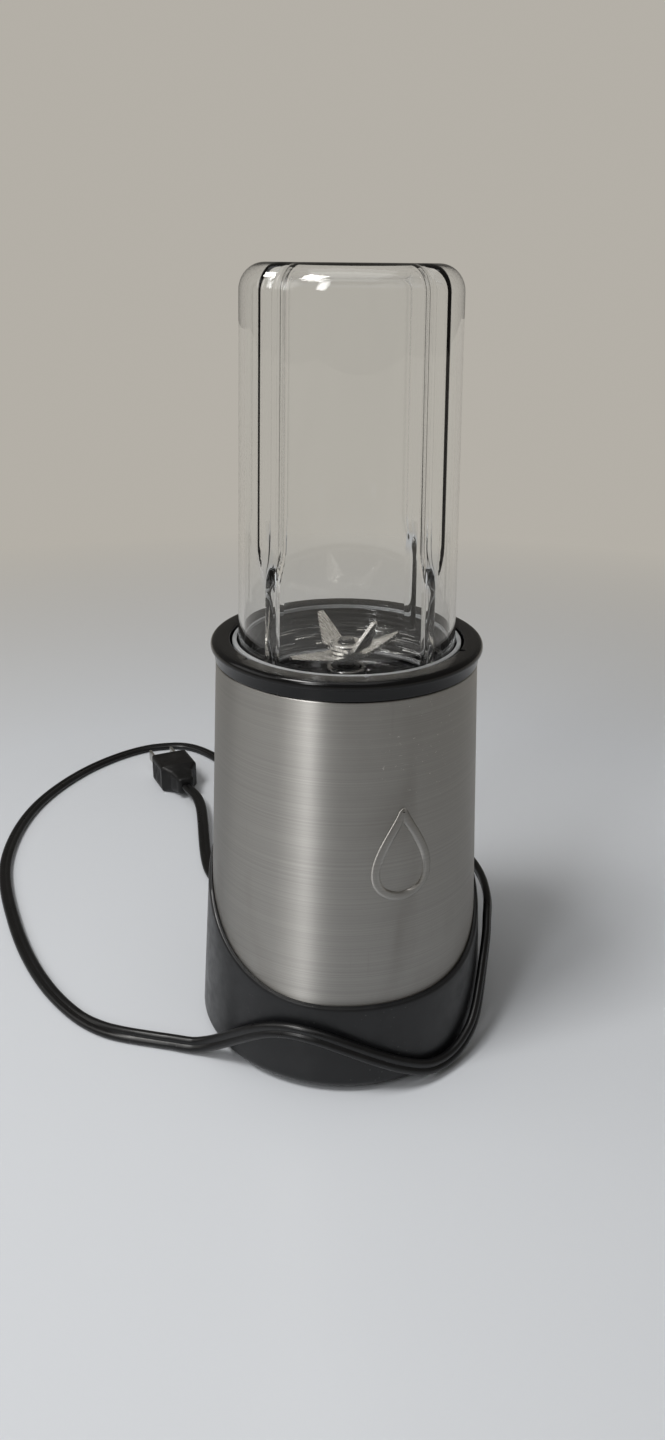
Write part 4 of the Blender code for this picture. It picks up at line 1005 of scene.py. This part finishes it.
@dataclass
class Cup(Assembly):
    """The upturned clear cup, with grooves outside, ribs inside, and its gasket."""

    top_radius: float = 0.0360
    taper: float = 0.0248
    wall: float = 0.0020
    corner: float = 0.0085
    grooves: int = 4
    groove_angle: float = 35.5
    groove_half: float = 8.9
    groove_floor: float = 2.2
    groove_depth: float = 0.0026
    groove_end: float = 0.1840
    fork: float = 0.0150
    rib_end: float = 0.1530
    rib_half: float = 0.0025
    thread_pitch: float = 0.0028
    thread_depth: float = 0.0008
    thread_top: float = 0.1530
    columns: int = 320
    mouth: float = field(default_factory=lambda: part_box("cup")[0].z)
    top: float = field(default_factory=lambda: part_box("cup")[1].z)

    def radius_at(self, z: float) -> float:
        """Outer radius between the grooves at a height."""
        return self.top_radius + self.taper * (self.top - z)

    def outline(self) -> Outline:
        """Both faces of the wall, from the axis over the outside to the mouth and back inside.

        Returns:
            Points as (radius, height).
        """
        corner_z = self.top - self.corner
        centre = (self.radius_at(corner_z) - self.corner, corner_z)
        steps = heights(self.mouth + 0.0004, self.thread_top, 0.00042)
        steps += heights(self.thread_top + 0.003, self.groove_end - 0.002, 0.004)
        steps += heights(self.groove_end, self.groove_end + self.fork, 0.001)
        steps += heights(self.groove_end + self.fork + 0.006, corner_z - 0.003, 0.010)
        outer = [(self.radius_at(z), z) for z in reversed(steps)]
        lower = heights(self.mouth, self.rib_end - 0.001, 0.004)
        lower += heights(self.rib_end - 0.0005, self.rib_end + 0.003, 0.0005)
        lower += [z for z in steps if z > self.rib_end + 0.0035]
        inner = [(self.radius_at(z) - self.wall, z) for z in lower]
        flat = [(0.0, self.top - 0.0003), (centre[0] * 0.35, self.top - 0.00025),
                (centre[0] * 0.7, self.top - 0.0001), (centre[0] - 0.003, self.top)]
        under = [(r, z - self.wall) for r, z in reversed(flat)]
        shoulder = arc(centre, self.corner, 90, 0, 12)
        ceiling = arc(centre, self.corner - self.wall, 0, 90, 10)
        return flat + shoulder + outer + inner + ceiling + under

    def is_outside(self, radius: float, z: float) -> bool:
        """Tell the wall's outer face from its inner one.

        Args:
            radius: Distance from the axis.
            z: Height.

        Returns:
            True on the outer face.
        """
        corner_z = self.top - self.corner
        centre = self.radius_at(corner_z) - self.corner
        if z <= corner_z:
            return radius > self.radius_at(z) - self.wall / 2
        if radius <= centre:
            return z > self.top - self.wall / 2 - 0.0002
        return math.hypot(radius - centre, z - corner_z) > self.corner - self.wall / 2

    def pressed(self, point: Vector) -> Vector:
        """Press the grooves in, raise the ribs and cut the thread.

        Args:
            point: A point on the plain turned wall.

        Returns:
            Where it goes.
        """
        radius = point.xy.length
        if radius < 0.002:
            return point
        z = point.z
        pitch = 360 / self.grooves
        angle = bearing(point)
        away = abs((angle - self.groove_angle + pitch / 2) % pitch - pitch / 2)
        run = smooth(z, self.groove_end, self.groove_end + self.fork)
        half = self.groove_half * (0.5 + 0.5 * run)
        flank = min(1.0, max(0.0, (half - away) / (half - self.groove_floor)))
        depth = self.groove_depth * run * flank
        corner_z = self.top - self.corner
        if z > corner_z:
            edge = self.radius_at(corner_z) - self.corner
            depth *= smooth(radius, edge - 0.004, edge + self.corner * 0.6)
        if self.is_outside(radius, z):
            if z < self.thread_top:
                phase = ((z - self.mouth) / self.thread_pitch - angle / 360) % 1.0
                ends = smooth(z, self.thread_top, self.thread_top - 0.0015)
                depth += self.thread_depth * ends * smooth(abs(phase - 0.5), 0.14, 0.30)
            return with_radius(point, radius - depth)
        across = math.radians(away) * radius
        rib = self.groove_depth * smooth(across, self.rib_half, self.rib_half * 0.62) * (1 - run)
        rib *= smooth(z, self.rib_end, self.rib_end + 0.0022 + across * 0.6)
        return with_radius(point, radius - max(depth, rib))

    def build(self) -> None:
        """Build the cup and its gasket."""
        shell = lathe("cup_shell", self.outline(), self.columns)
        reshape(shell, self.pressed)
        self.add(settle(shell, 50.0), "clear_plastic", "cup", "clear_plastic", "cup")
        low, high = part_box("cup_gasket")
        inner = self.radius_at(self.mouth) - self.wall - 0.0010
        outer = high.x
        bead = (high.z - low.z) / 2
        outline = arc((outer - bead, low.z + bead), bead, -90, 90, 6)
        outline += arc((inner + bead, low.z + bead), bead, 90, 270, 6)
        self.add(lathe("gasket_ring", outline, 128), "grey_rubber", "gasket", "grey_rubber", "cup_gasket")


@dataclass
class BladeUnit(Assembly):
    """The threaded collar with its bearing, and the blades on their shaft."""

    wall: float = 0.0014
    deck: float = 0.1400
    floor: float = 0.0025
    bore: float = 0.0078
    thread_pitch: float = 0.0025
    thread_depth: float = 0.00055
    lugs: int = 4
    lug_angle: float = 35.5
    lug_width: float = 0.0060
    housing_radius: float = 0.0075
    housing_bore: float = 0.0055
    hub_radius: float = 0.0062
    blade_half_width: float = 0.0052
    fold: float = 0.0026
    least_rise: float = 0.0040
    lower_turn: float = 112.0
    upper_turn: float = 36.0
    lower_reach: float = 0.0245
    upper_reach: float = 0.0150

    def build_collar(self) -> None:
        """The black collar: deck, threaded wall and the lugs under it."""
        low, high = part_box("blade_collar")
        cam_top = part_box("cam_ring")[1].z + 0.0003
        outer = high.x
        inner = outer - self.wall
        bottom = self.deck - self.floor
        threads = [(inner, z) for z in heights(self.deck + 0.0022, high.z - 0.0006, 0.0004)]
        outline = [(self.bore, bottom), (inner, bottom), (inner, cam_top), (outer, cam_top),
                   (outer, high.z - 0.0006)]
        outline += arc((outer - 0.0004, high.z - 0.0004), 0.0004, 0, 90, 3)
        outline += [(inner + 0.0003, high.z)]
        outline += list(reversed(threads))
        outline += arc((inner - 0.0016, self.deck + 0.0016), 0.0016, 0, -90, 5)
        for ring in (0.0300, 0.0215, 0.0135):
            outline += [(ring + 0.0010, self.deck), (ring + 0.0006, self.deck + 0.0004),
                        (ring - 0.0006, self.deck + 0.0004), (ring - 0.0010, self.deck)]
        outline += [(self.bore, self.deck)]
        collar = lathe("collar_shell", outline)

        def threaded(point: Vector) -> Vector:
            """Cut the thread into the wall's inner face.

            Args:
                point: A point of the collar.

            Returns:
                Its new place.
            """
            radius = point.xy.length
            if abs(radius - inner) > 0.00002 or point.z < self.deck + 0.002:
                return point
            phase = (point.z / self.thread_pitch - bearing(point) / 360) % 1.0
            return with_radius(point, radius + self.thread_depth * (1 - 2 * abs(2 * phase - 1)) * 0.5)

        reshape(collar, threaded)
        for i in range(self.lugs):
            angle = self.lug_angle + 360 * i / self.lugs
            size = (self.lug_width, self.wall - 0.0006, cam_top + 0.0016 - low.z)
            at = polar(outer - self.wall / 2 - 0.0001, angle, low.z + size[2] / 2)
            combine(collar, brick("lug", size, at, angle), "UNION")
        self.add(settle(collar), "gloss_black_plastic", "blade_base", "black_plastic", "blade_collar")
        rim = [(inner - 0.0003, high.z + 0.00003), (outer - 0.0002, high.z + 0.00003)]
        rim += arc((outer - 0.0005, high.z + 0.0008), 0.0003, 0, 90, 3) + [(inner - 0.0003, high.z + 0.0012)]
        self.add(lathe("collar_rim", rim), "rim_plastic", "blade_base", "black_plastic")

    def build_bearing(self) -> None:
        """The bearing housing, turned from bar, with a soft flange."""
        low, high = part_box("bearing_housing")
        flange = high.x
        seat = self.deck + 0.0003
        outline = [(self.housing_bore, low.z), (self.housing_radius, low.z), (self.housing_radius, seat),
                   (flange, seat)]
        outline += arc((flange - 0.0007, seat + 0.0008), 0.0007, 0, 90, 5)
        outline += [(self.housing_radius + 0.0009, seat + 0.0015)]
        outline += arc((self.housing_radius + 0.0009, seat + 0.0024), 0.0009, 270, 180, 4)
        outline += arc((self.housing_radius - 0.0011, high.z - 0.0011), 0.0011, 0, 90, 5)
        outline += [(self.housing_bore + 0.0003, high.z), (self.housing_bore, high.z - 0.0003)]
        housing = lathe("bearing_body", outline, 96)
        # the bearing's dark colour is a painted dark reflection
        self.add(housing, "dark_steel", "blade_base", "zinc_plate", "bearing_housing")

    def build_blade(self, node: str, reach: float, turn: float, sweep: float) -> None:
        """A two-armed blade with ground edges.

        Args:
            node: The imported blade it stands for.
            reach: How far each arm goes out.
            turn: Angle of its long axis.
            sweep: Angle in degrees through which each arm bends up.
        """
        low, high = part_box(node)
        thickness = 0.0013
        flat = 0.0052
        rise = max(high.z - low.z - thickness, self.least_rise)
        bend = math.radians(sweep)
        curl = self.fold / bend
        arm = self.fold + (reach - flat - curl * math.sin(bend)) / math.cos(bend)
        arm = min(arm, self.fold + (rise - curl * (1 - math.cos(bend))) / math.sin(bend))
        clear_selection()
        bpy.ops.mesh.primitive_cube_add(size=1.0, location=(0, 0, 0))
        blade = named(node + "_ground")
        blade.scale = (2 * (flat + arm), 2 * self.blade_half_width, thickness)
        settle(blade)
        edit(blade)
        bpy.ops.mesh.subdivide(number_cuts=1)
        bpy.ops.object.mode_set(mode="OBJECT")
        for cut in range(-14, 15):
            edit(blade)
            bpy.ops.mesh.bisect(plane_co=((flat + arm) * cut / 15, 0, 0), plane_no=(1, 0, 0))
            bpy.ops.object.mode_set(mode="OBJECT")
        edge = self.blade_half_width
        for side in (-0.72, -0.45, 0.45, 0.72):
            edit(blade)
            bpy.ops.mesh.bisect(plane_co=(0, edge * side, 0), plane_no=(0, 1, 0))
            bpy.ops.object.mode_set(mode="OBJECT")

        def ground(point: Vector) -> Vector:
            """Narrow the arm to its tip, thin its cutting edge and bend it up.

            Args:
                point: A point of the flat blank.

            Returns:
                Its new place.
            """
            side = 1.0 if point.x >= 0 else -1.0
            out = max(0.0, abs(point.x) - flat)
            share = out / arm
            across = point.y * side / edge
            cutting = 1.0 - 0.62 * share ** 1.3
            back = 1.0 - 0.94 * share ** 0.85
            y = across * edge * (cutting if across > 0 else back) * (1.0 + 0.10 * math.sin(math.pi * share))
            y += 0.0012 * share ** 2
            thin = 1.0 - 0.85 * smooth(across, 0.35, 1.0) * smooth(share, 0.02, 0.18)
            z = point.z * thin
            angle = bend * min(1.0, out / self.fold)
            straight = max(0.0, out - self.fold)
            x = min(abs(point.x), flat) + (curl - z) * math.sin(angle) + straight * math.cos(angle)
            up = curl * (1 - math.cos(angle)) + z * math.cos(angle) + straight * math.sin(angle)
            turned = Matrix.Rotation(math.radians(turn - 90), 3, "Z") @ Vector((side * x, side * y, 0))
            return Vector((turned.x, turned.y, low.z + thickness / 2 + up))

        reshape(blade, ground)
        combine(blade, rod("shaft_hole", 0.0033, low.z - 0.004, low.z + 0.006))
        self.add(settle(blade, 30.0), "blade_steel", "blade_rotor", "blade_steel", node)

    def build_hub(self) -> None:
        """The washer over the blades and the peened end of the shaft."""
        low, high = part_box("hub_washer")
        washer = lathe("hub_plate", [
            (0.0033, low.z), (self.hub_radius - 0.0003, low.z), (self.hub_radius, low.z + 0.0003),
            (self.hub_radius - 0.0002, high.z - 0.0001), (self.hub_radius - 0.0006, high.z),
            (0.0036, high.z), (0.0033, high.z - 0.0002)], 64)
        self.add(washer, "blade_steel", "blade_rotor", "zinc_plate", "hub_washer")
        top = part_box("blade_shaft")[1].z
        tip = brick("shaft_tip", (0.0046, 0.0038, 0.0011), Vector((0, 0, top + 0.00057)), 14.0, 0.0003)
        edit(tip, Pick.FACES, lambda face: face.normal.z > 0.9 and face.area > 5e-6)
        bpy.ops.mesh.inset(thickness=0.0007)
        bpy.ops.transform.translate(value=(0, 0, -0.0002))
        bpy.ops.object.mode_set(mode="OBJECT")
        # the shaft tip's dark colour is a painted dark reflection
        self.add(settle(tip), "dark_steel", "blade_rotor", "zinc_plate")

    def build(self) -> None:
        """Build every piece of the blade unit."""
        self.build_collar()
        self.build_bearing()
        self.build_blade("lower_blade", self.lower_reach, self.lower_turn, 10.0)
        self.build_blade("upper_blade", self.upper_reach, self.upper_turn, 66.0)
        self.build_hub()


@dataclass
class Cord(Assembly):
    """The flat twin cord, its strain relief and its plug."""

    route: list[tuple[float, float, float]] = field(default_factory=lambda: [
        (0.0067, 0.0760, 0.0500), (0.0074, 0.0830, 0.0498), (0.0110, 0.0955, 0.0478),
        (0.0200, 0.1055, 0.0452), (0.0325, 0.1090, 0.0426), (0.0455, 0.1045, 0.0408),
        (0.0545, 0.0935, 0.0402), (0.0600, 0.0770, 0.0408), (0.0636, 0.0380, 0.0440),
        (0.0646, 0.0160, 0.0448), (0.0625, -0.0010, 0.0440), (0.0587, -0.0131, 0.0405),
        (0.0555, -0.0217, 0.0340), (0.0478, -0.0371, 0.0160), (0.0415, -0.0446, 0.0092),
        (0.0330, -0.0512, 0.0058), (0.0230, -0.0565, 0.0066), (0.0123, -0.0594, 0.0112),
        (0.0010, -0.0602, 0.0170), (-0.0106, -0.0589, 0.0225), (-0.0217, -0.0556, 0.0262),
        (-0.0325, -0.0500, 0.0264), (-0.0423, -0.0427, 0.0215), (-0.0600, -0.0268, 0.0060),
        (-0.0715, -0.0205, 0.0034), (-0.0990, -0.0050, 0.0032), (-0.1215, 0.0280, 0.0032),
        (-0.1380, 0.0780, 0.0032), (-0.1465, 0.1380, 0.0032), (-0.1350, 0.1960, 0.0032),
        (-0.1040, 0.2430, 0.0032), (-0.0640, 0.2660, 0.0032), (-0.0315, 0.2470, 0.0032),
        (0.0075, 0.1450, 0.0032), (0.0120, 0.1140, 0.0032), (-0.0010, 0.0890, 0.0032),
        (-0.0280, 0.0860, 0.0033), (-0.0450, 0.1080, 0.0036), (-0.0448, 0.1720, 0.0066),
        (-0.0505, 0.1940, 0.0080),
    ])
    length: float = 1.077
    width: float = 0.0060
    core_radius: float = 0.0016
    web: float = 0.00105
    step: float = 0.0022
    skirt_radius: float = 0.0572
    skirt_taper: float = 0.065
    hug_start: float = 0.150
    hug_end: float = 0.385
    exit_angle: float = 175.0
    exit_height: float = 0.0500

    def line(self) -> tuple[list[Vector], list[float]]:
        """The cord's middle, close points on a smooth curve, and each one's share of lying against the skirt.

        Returns:
            The points, and how much the cord stands on edge at each.
        """
        route = [Vector(p) for p in self.route]
        route = [2 * route[0] - route[1]] + route + [2 * route[-1] - route[-2]]
        dense = []
        for i in range(1, len(route) - 2):
            a, b, c, d = route[i - 1:i + 3]
            for k in range(12):
                t = k / 12
                dense.append(0.5 * (2 * b + (c - a) * t + (2 * a - 5 * b + 4 * c - d) * t * t
                                    + (3 * b - a - 3 * c + d) * t ** 3))
        dense.append(route[-2])
        along = [0.0]
        for a, b in zip(dense, dense[1:]):
            along.append(along[-1] + (b - a).length)
        count = round(along[-1] / self.step)
        points, shares = [], []
        i = 0
        for k in range(count + 1):
            goal = along[-1] * k / count
            while i < len(along) - 2 and along[i + 1] < goal:
                i += 1
            point = dense[i].lerp(dense[i + 1], (goal - along[i]) / (along[i + 1] - along[i]))
            on_edge = smooth(goal, self.hug_start - 0.05, self.hug_start) * smooth(
                goal, self.hug_end + 0.035, self.hug_end)
            points.append(self.laid(point, on_edge))
            shares.append(on_edge)
        return points, shares

    def laid(self, point: Vector, on_edge: float) -> Vector:
        """Bring a point of the round route to where the flat cord lies, on the floor or against the skirt.

        Args:
            point: A point of the route.
            on_edge: How far the cord stands on its edge, from 0 to 1.

        Returns:
            The moved point.
        """
        if on_edge > 0.0:
            closest = self.skirt_radius - self.skirt_taper * point.z + self.core_radius + 0.0004
            radius = max(closest, point.xy.length - 0.0018 * on_edge)
            point = with_radius(point, radius)
        drop = 0.0015 * smooth(point.z, 0.0062, 0.0042) * (1 - on_edge)
        return point - Vector((0, 0, drop))

    def section(self) -> list[tuple[float, float]]:
        """Outline of the twin cord: two round cores with a narrow web between them.

        Returns:
            Points across the cord.
        """
        offset = self.width / 2 - self.core_radius
        half = [(offset + self.core_radius * math.cos(math.radians(a)),
                 self.core_radius * math.sin(math.radians(a))) for a in range(-115, 116, 23)]
        left = [(-x, -y) for x, y in half]
        return half + [(0.0, self.web)] + left + [(0.0, -self.web)]

    def build_cord(self, plug: list[bpy.types.Object]) -> None:
        """Args:
            plug: The pieces on the cord; not used.
        """
        points, shares = self.line()
        section = self.section()
        vertices, faces = [], []
        normal = Vector((0, 0, 1))
        for i, point in enumerate(points):
            tangent = (points[min(i + 1, len(points) - 1)] - points[max(i - 1, 0)]).normalized()
            outward = Vector((point.x, point.y, 0.25 * point.xy.length)).normalized()
            wanted = Vector((0, 0, 1)).lerp(outward, shares[i])
            wanted -= tangent * wanted.dot(tangent)
            normal = (normal - tangent * normal.dot(tangent)).normalized().lerp(wanted.normalized(), 0.35)
            normal = (normal - tangent * normal.dot(tangent)).normalized()
            side = tangent.cross(normal)
            vertices += [point + side * x + normal * y for x, y in section]
        count = len(section)
        for i in range(len(points) - 1):
            for k in range(count):
                here, there = i * count, (i + 1) * count
                faces.append((here + k, here + (k + 1) % count, there + (k + 1) % count, there + k))
        faces.append(tuple(reversed(range(count))))
        faces.append(tuple(range(len(vertices) - count, len(vertices))))
        mesh = bpy.data.meshes.new("twin_cord")
        mesh.from_pydata(vertices, [], faces)
        cord = bpy.data.objects.new("twin_cord", mesh)
        bpy.context.collection.objects.link(cord)
        self.add(settle(cord, 50.0), "cord_jacket", "base", "cord_jacket", "power_cord")

    def build_relief(self) -> bpy.types.Object:
        """The ribbed strain relief, tapered towards the cord.

        Returns:
            The finished relief.
        """
        tip_r = Vector(self.route[0]).xy.length - 0.0003
        low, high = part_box("cord_strain_relief")
        inner_r = min(Vector((x, low.y)).length for x in (low.x, high.x, (low.x + high.x) / 2))
        length = tip_r - inner_r
        outline = [(0.0, 0.0), (0.0068, 0.0), (0.0070, 0.0003), (0.0070, 0.0019), (0.0068, 0.0022),
                   (0.0054, 0.0022), (0.0054, length * 0.36)]
        ribs = 6
        start = length * 0.36
        pitch = (length - start) / ribs
        for i in range(ribs):
            z = start + pitch * i
            rib = 0.0055 - 0.0014 * (i + 0.5) / ribs
            outline += [(rib - 0.0008, z + pitch * 0.12), (rib - 0.0008, z + pitch * 0.34),
                        (rib - 0.0002, z + pitch * 0.42), (rib, z + pitch * 0.55),
                        (rib, z + pitch * 0.88), (rib - 0.0002, z + pitch * 0.97)]
        outline += [(0.0036, length), (0.0, length)]
        relief = lathe("ribbed_relief", outline, 48)
        relief.matrix_world = facing(polar(inner_r, self.exit_angle, self.exit_height), self.exit_angle)
        return self.add(settle(relief), "black_rubber", "base", "black_rubber", "cord_strain_relief")

    def build_plug(self) -> bpy.types.Object:
        """The moulded plug: a block drawn down to its neck, with finger grips on its sides.

        Returns:
            The finished plug.
        """
        low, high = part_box("plug_body")
        end = Vector(self.route[-1])
        heading = (end - Vector(self.route[-2])).xy.normalized()
        length, width, thick = 0.0340, 0.0210, high.z - low.z
        clear_selection()
        bpy.ops.mesh.primitive_cube_add(size=1.0)
        plug = named("plug_shell")
        body = length - 0.0145
        plug.scale = (body, width, thick)
        plug.location = (length - body / 2, 0, 0)
        settle(plug)
        for reach, across, height in ((0.0048, 0.62, 0.80), (0.0050, 0.76, 0.82), (0.0044, 0.94, 0.92)):
            near = min(v.co.x for v in plug.data.vertices)
            edit(plug, Pick.FACES, lambda face: face.normal.x < -0.9 and face.center.x < near + 1e-5)
            bpy.ops.mesh.extrude_region_move(TRANSFORM_OT_translate={"value": (-reach, 0, 0)})
            bpy.ops.transform.resize(value=(1, across, height), center_override=(near - reach, 0, 0))
            bpy.ops.object.mode_set(mode="OBJECT")
        refine(plug, "BEVEL", width=0.0018, segments=3, limit_method="ANGLE", angle_limit=math.radians(40))
        for side in (-1, 1):
            for i in range(5):
                x = length - body * (0.22 + 0.14 * i)
                groove = brick("grip", (0.0011, 0.0022, thick * 0.62), Vector((x, side * width / 2, 0)), 0.0,
                               0.0004)
                combine(plug, groove)
        settle(plug, 40.0)
        plug.rotation_euler = (0, 0, math.atan2(heading.y, heading.x))
        plug.location = (end.x + heading.x * 0.0003, end.y + heading.y * 0.0003, (low.z + high.z) / 2)
        return self.add(settle(plug, 40.0), "plug_plastic", "base", "black_plastic", "plug_body")

    def build(self) -> None:
        """Build the relief, the plug and the cord that joins them."""
        relief = self.build_relief()
        plug = self.build_plug()
        pins = [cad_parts["plug_pin_1"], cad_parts["plug_pin_2"]]
        self.build_cord([plug, relief, *pins])


@dataclass
class InnerParts(Assembly):
    """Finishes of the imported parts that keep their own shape, and the plunger's spring."""

    plunger_travel: float = 0.0012
    worn: dict[str, tuple[str, ...]] = field(default_factory=lambda: {
        "black_plastic": ("well_liner", "bottom_cover", "chassis", "cord_clamp"),
        "gloss_black_plastic": ("brush_holder", "microswitch", "drive_coupling"),
        "black_rubber": ("foot", "motor_mount", "driven_coupling", "shaft_seal"),
        "white_plastic": ("cam_ring", "interlock_plunger", "cooling_fan"),
        "zinc_plate": ("housing_nut", "blade_spacer", "motor_shaft", "motor_bolt", "lower_bracket",
                       "upper_bracket", "plug_pin"),
        # the blade shaft's dark colour is a painted dark reflection
        "dark_steel": ("blade_shaft",),
        "sintered_bronze": ("upper_bush", "lower_bush", "lower_bearing", "upper_bearing"),
        "carbon": ("carbon_brush",),
        "laminated_iron": ("stator_stack", "armature_core"),
        "enamelled_copper": ("field_coil", "armature_winding"),
        "commutator_copper": ("commutator",),
        "circuit_board": ("control_board",),
    })

    def build_spring(self) -> None:
        """The plunger's spring, a copy of the imported one at a fixed length."""
        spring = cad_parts["plunger_spring"].copy()
        spring.data = spring.data.copy()
        bpy.context.collection.objects.link(spring)
        spring.name = spring.data.name = "coil_spring"
        self.add(settle(spring, 60.0), "zinc_plate", "base", "zinc_plate", "plunger_spring")
        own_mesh(spring)

    def build(self) -> None:
        """Make the spring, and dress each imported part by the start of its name."""
        self.build_spring()
        for name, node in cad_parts.items():
            for finish, starts in self.worn.items():
                if name.startswith(starts):
                    self.finishes.dress(node, finish)
                    log.info("%s: packed part in %s", name, finish)


# ---------------------------------------------------------------- studio
@dataclass
class Studio:
    """Pale floor, soft light and the camera."""

    distance: float = 0.372
    height: float = 0.2844
    bearing: float = 12.0
    heading: float = 11.255
    pitch: float = 22.978
    roll: float = 0.555
    view_angle: float = 67.405
    sensor: float = 36.0
    floor_size: float = 12.0
    table_reach: float = 0.42
    room_colour: Colour = (0.455, 0.430, 0.385)
    room_glow: float = 0.30
    table_colour: Colour = (0.66, 0.685, 0.725)

    def build_floor(self) -> None:
        """A pale table top that runs out into the colour of the room, so that no horizon shows."""
        clear_selection()
        bpy.ops.mesh.primitive_plane_add(size=self.floor_size)
        floor = named("floor")
        s = Shader("pale_table")
        s.feed(s.base, Base_Color=(*self.table_colour, 1.0), Roughness=0.30, Specular_IOR_Level=0.35)
        away = s.node("ShaderNodeVectorMath", operation="LENGTH")
        s.tree.links.new(s.place, away.inputs[0])
        room = s.feed(s.node("ShaderNodeEmission"), Color=(*self.room_colour, 1.0))
        mixed = s.node("ShaderNodeMixShader")
        fading = s.ramp(away.outputs["Value"], self.table_reach * 0.75, self.table_reach * 2.0)
        s.tree.links.new(fading, mixed.inputs[0])
        s.tree.links.new(s.base.outputs["BSDF"], mixed.inputs[1])
        s.tree.links.new(room.outputs["Emission"], mixed.inputs[2])
        s.tree.links.new(mixed.outputs["Shader"], s.tree.nodes["Material Output"].inputs["Surface"])
        floor.data.materials.append(s.material)

    def build_light(self) -> None:
        """A ceiling lamp on the left, a tall window, a wide pale wall beyond it, and a dim even room."""
        for name, turn, reach, height, wide, tall, power, colour in (
                ("ceiling", -68.0, 0.75, 1.35, 0.40, 0.40, 12.0, (1.0, 0.985, 0.96)),
                ("sky", -20.0, 0.20, 1.60, 1.20, 1.20, 4.0, (0.98, 0.99, 1.0)),
                ("window", -43.0, 1.20, 0.95, 0.22, 0.80, 4.9, (1.0, 1.0, 1.0)),
                ("wall", -98.0, 1.40, 0.90, 1.30, 0.80, 3.4, (1.0, 0.99, 0.97))):
            lamp = bpy.data.lights.new(name, "AREA")
            lamp.shape = "RECTANGLE"
            lamp.size = wide
            lamp.size_y = tall
            lamp.energy = power
            lamp.color = colour
            made = bpy.data.objects.new(name, lamp)
            made.location = polar(reach, turn, height)
            made.rotation_euler = (Vector((0, 0, 0.12)) - made.location).to_track_quat("-Z", "Y").to_euler()
            bpy.context.collection.objects.link(made)
        world = bpy.data.worlds.new("room")
        world.use_nodes = True
        bpy.context.scene.world = world
        nodes, links = world.node_tree.nodes, world.node_tree.links
        background = nodes["Background"]
        background.inputs["Color"].default_value = (*self.room_colour, 1.0)
        strength = nodes.new("ShaderNodeMapRange")
        strength.inputs["To Min"].default_value = self.room_glow
        strength.inputs["To Max"].default_value = 1.0
        path = nodes.new("ShaderNodeLightPath")
        seen = nodes.new("ShaderNodeMath")
        seen.operation = "MAXIMUM"
        links.new(path.outputs["Is Camera Ray"], seen.inputs[0])
        links.new(path.outputs["Is Transmission Ray"], seen.inputs[1])
        links.new(seen.outputs["Value"], strength.inputs["Value"])
        links.new(strength.outputs["Result"], background.inputs["Strength"])

    def build_camera(self) -> None:
        """A camera at the eye's place, turned by heading, pitch and roll."""
        data = bpy.data.cameras.new("camera")
        data.sensor_width = self.sensor
        data.lens = self.sensor / 2 / math.tan(math.radians(self.view_angle / 2))
        data.clip_start = 0.01
        camera = bpy.data.objects.new("camera", data)
        bpy.context.collection.objects.link(camera)
        place = polar(self.distance, -self.bearing, self.height)
        turn = Matrix.Rotation(math.radians(-self.heading), 4, "Z")
        turn @= Matrix.Rotation(math.radians(90 - self.pitch), 4, "X")
        turn @= Matrix.Rotation(math.radians(self.roll), 4, "Z")
        camera.matrix_world = Matrix.Translation(place) @ turn
        bpy.context.scene.camera = camera

    def build(self) -> None:
        """Build the whole studio."""
        self.build_floor()
        self.build_light()
        self.build_camera()
        bpy.context.scene.view_settings.view_transform = "Standard"


def main() -> None:
    """Build the studio, the cord and each sub-assembly in order."""
    logging.basicConfig(level=logging.INFO, format="%(message)s")
    finishes = Finishes()
    Studio().build()
    for assembly in (Cord, Cup, BladeUnit, Housing, InnerParts):
        assembly(finishes).build()


if __name__ == "__main__":
    main()
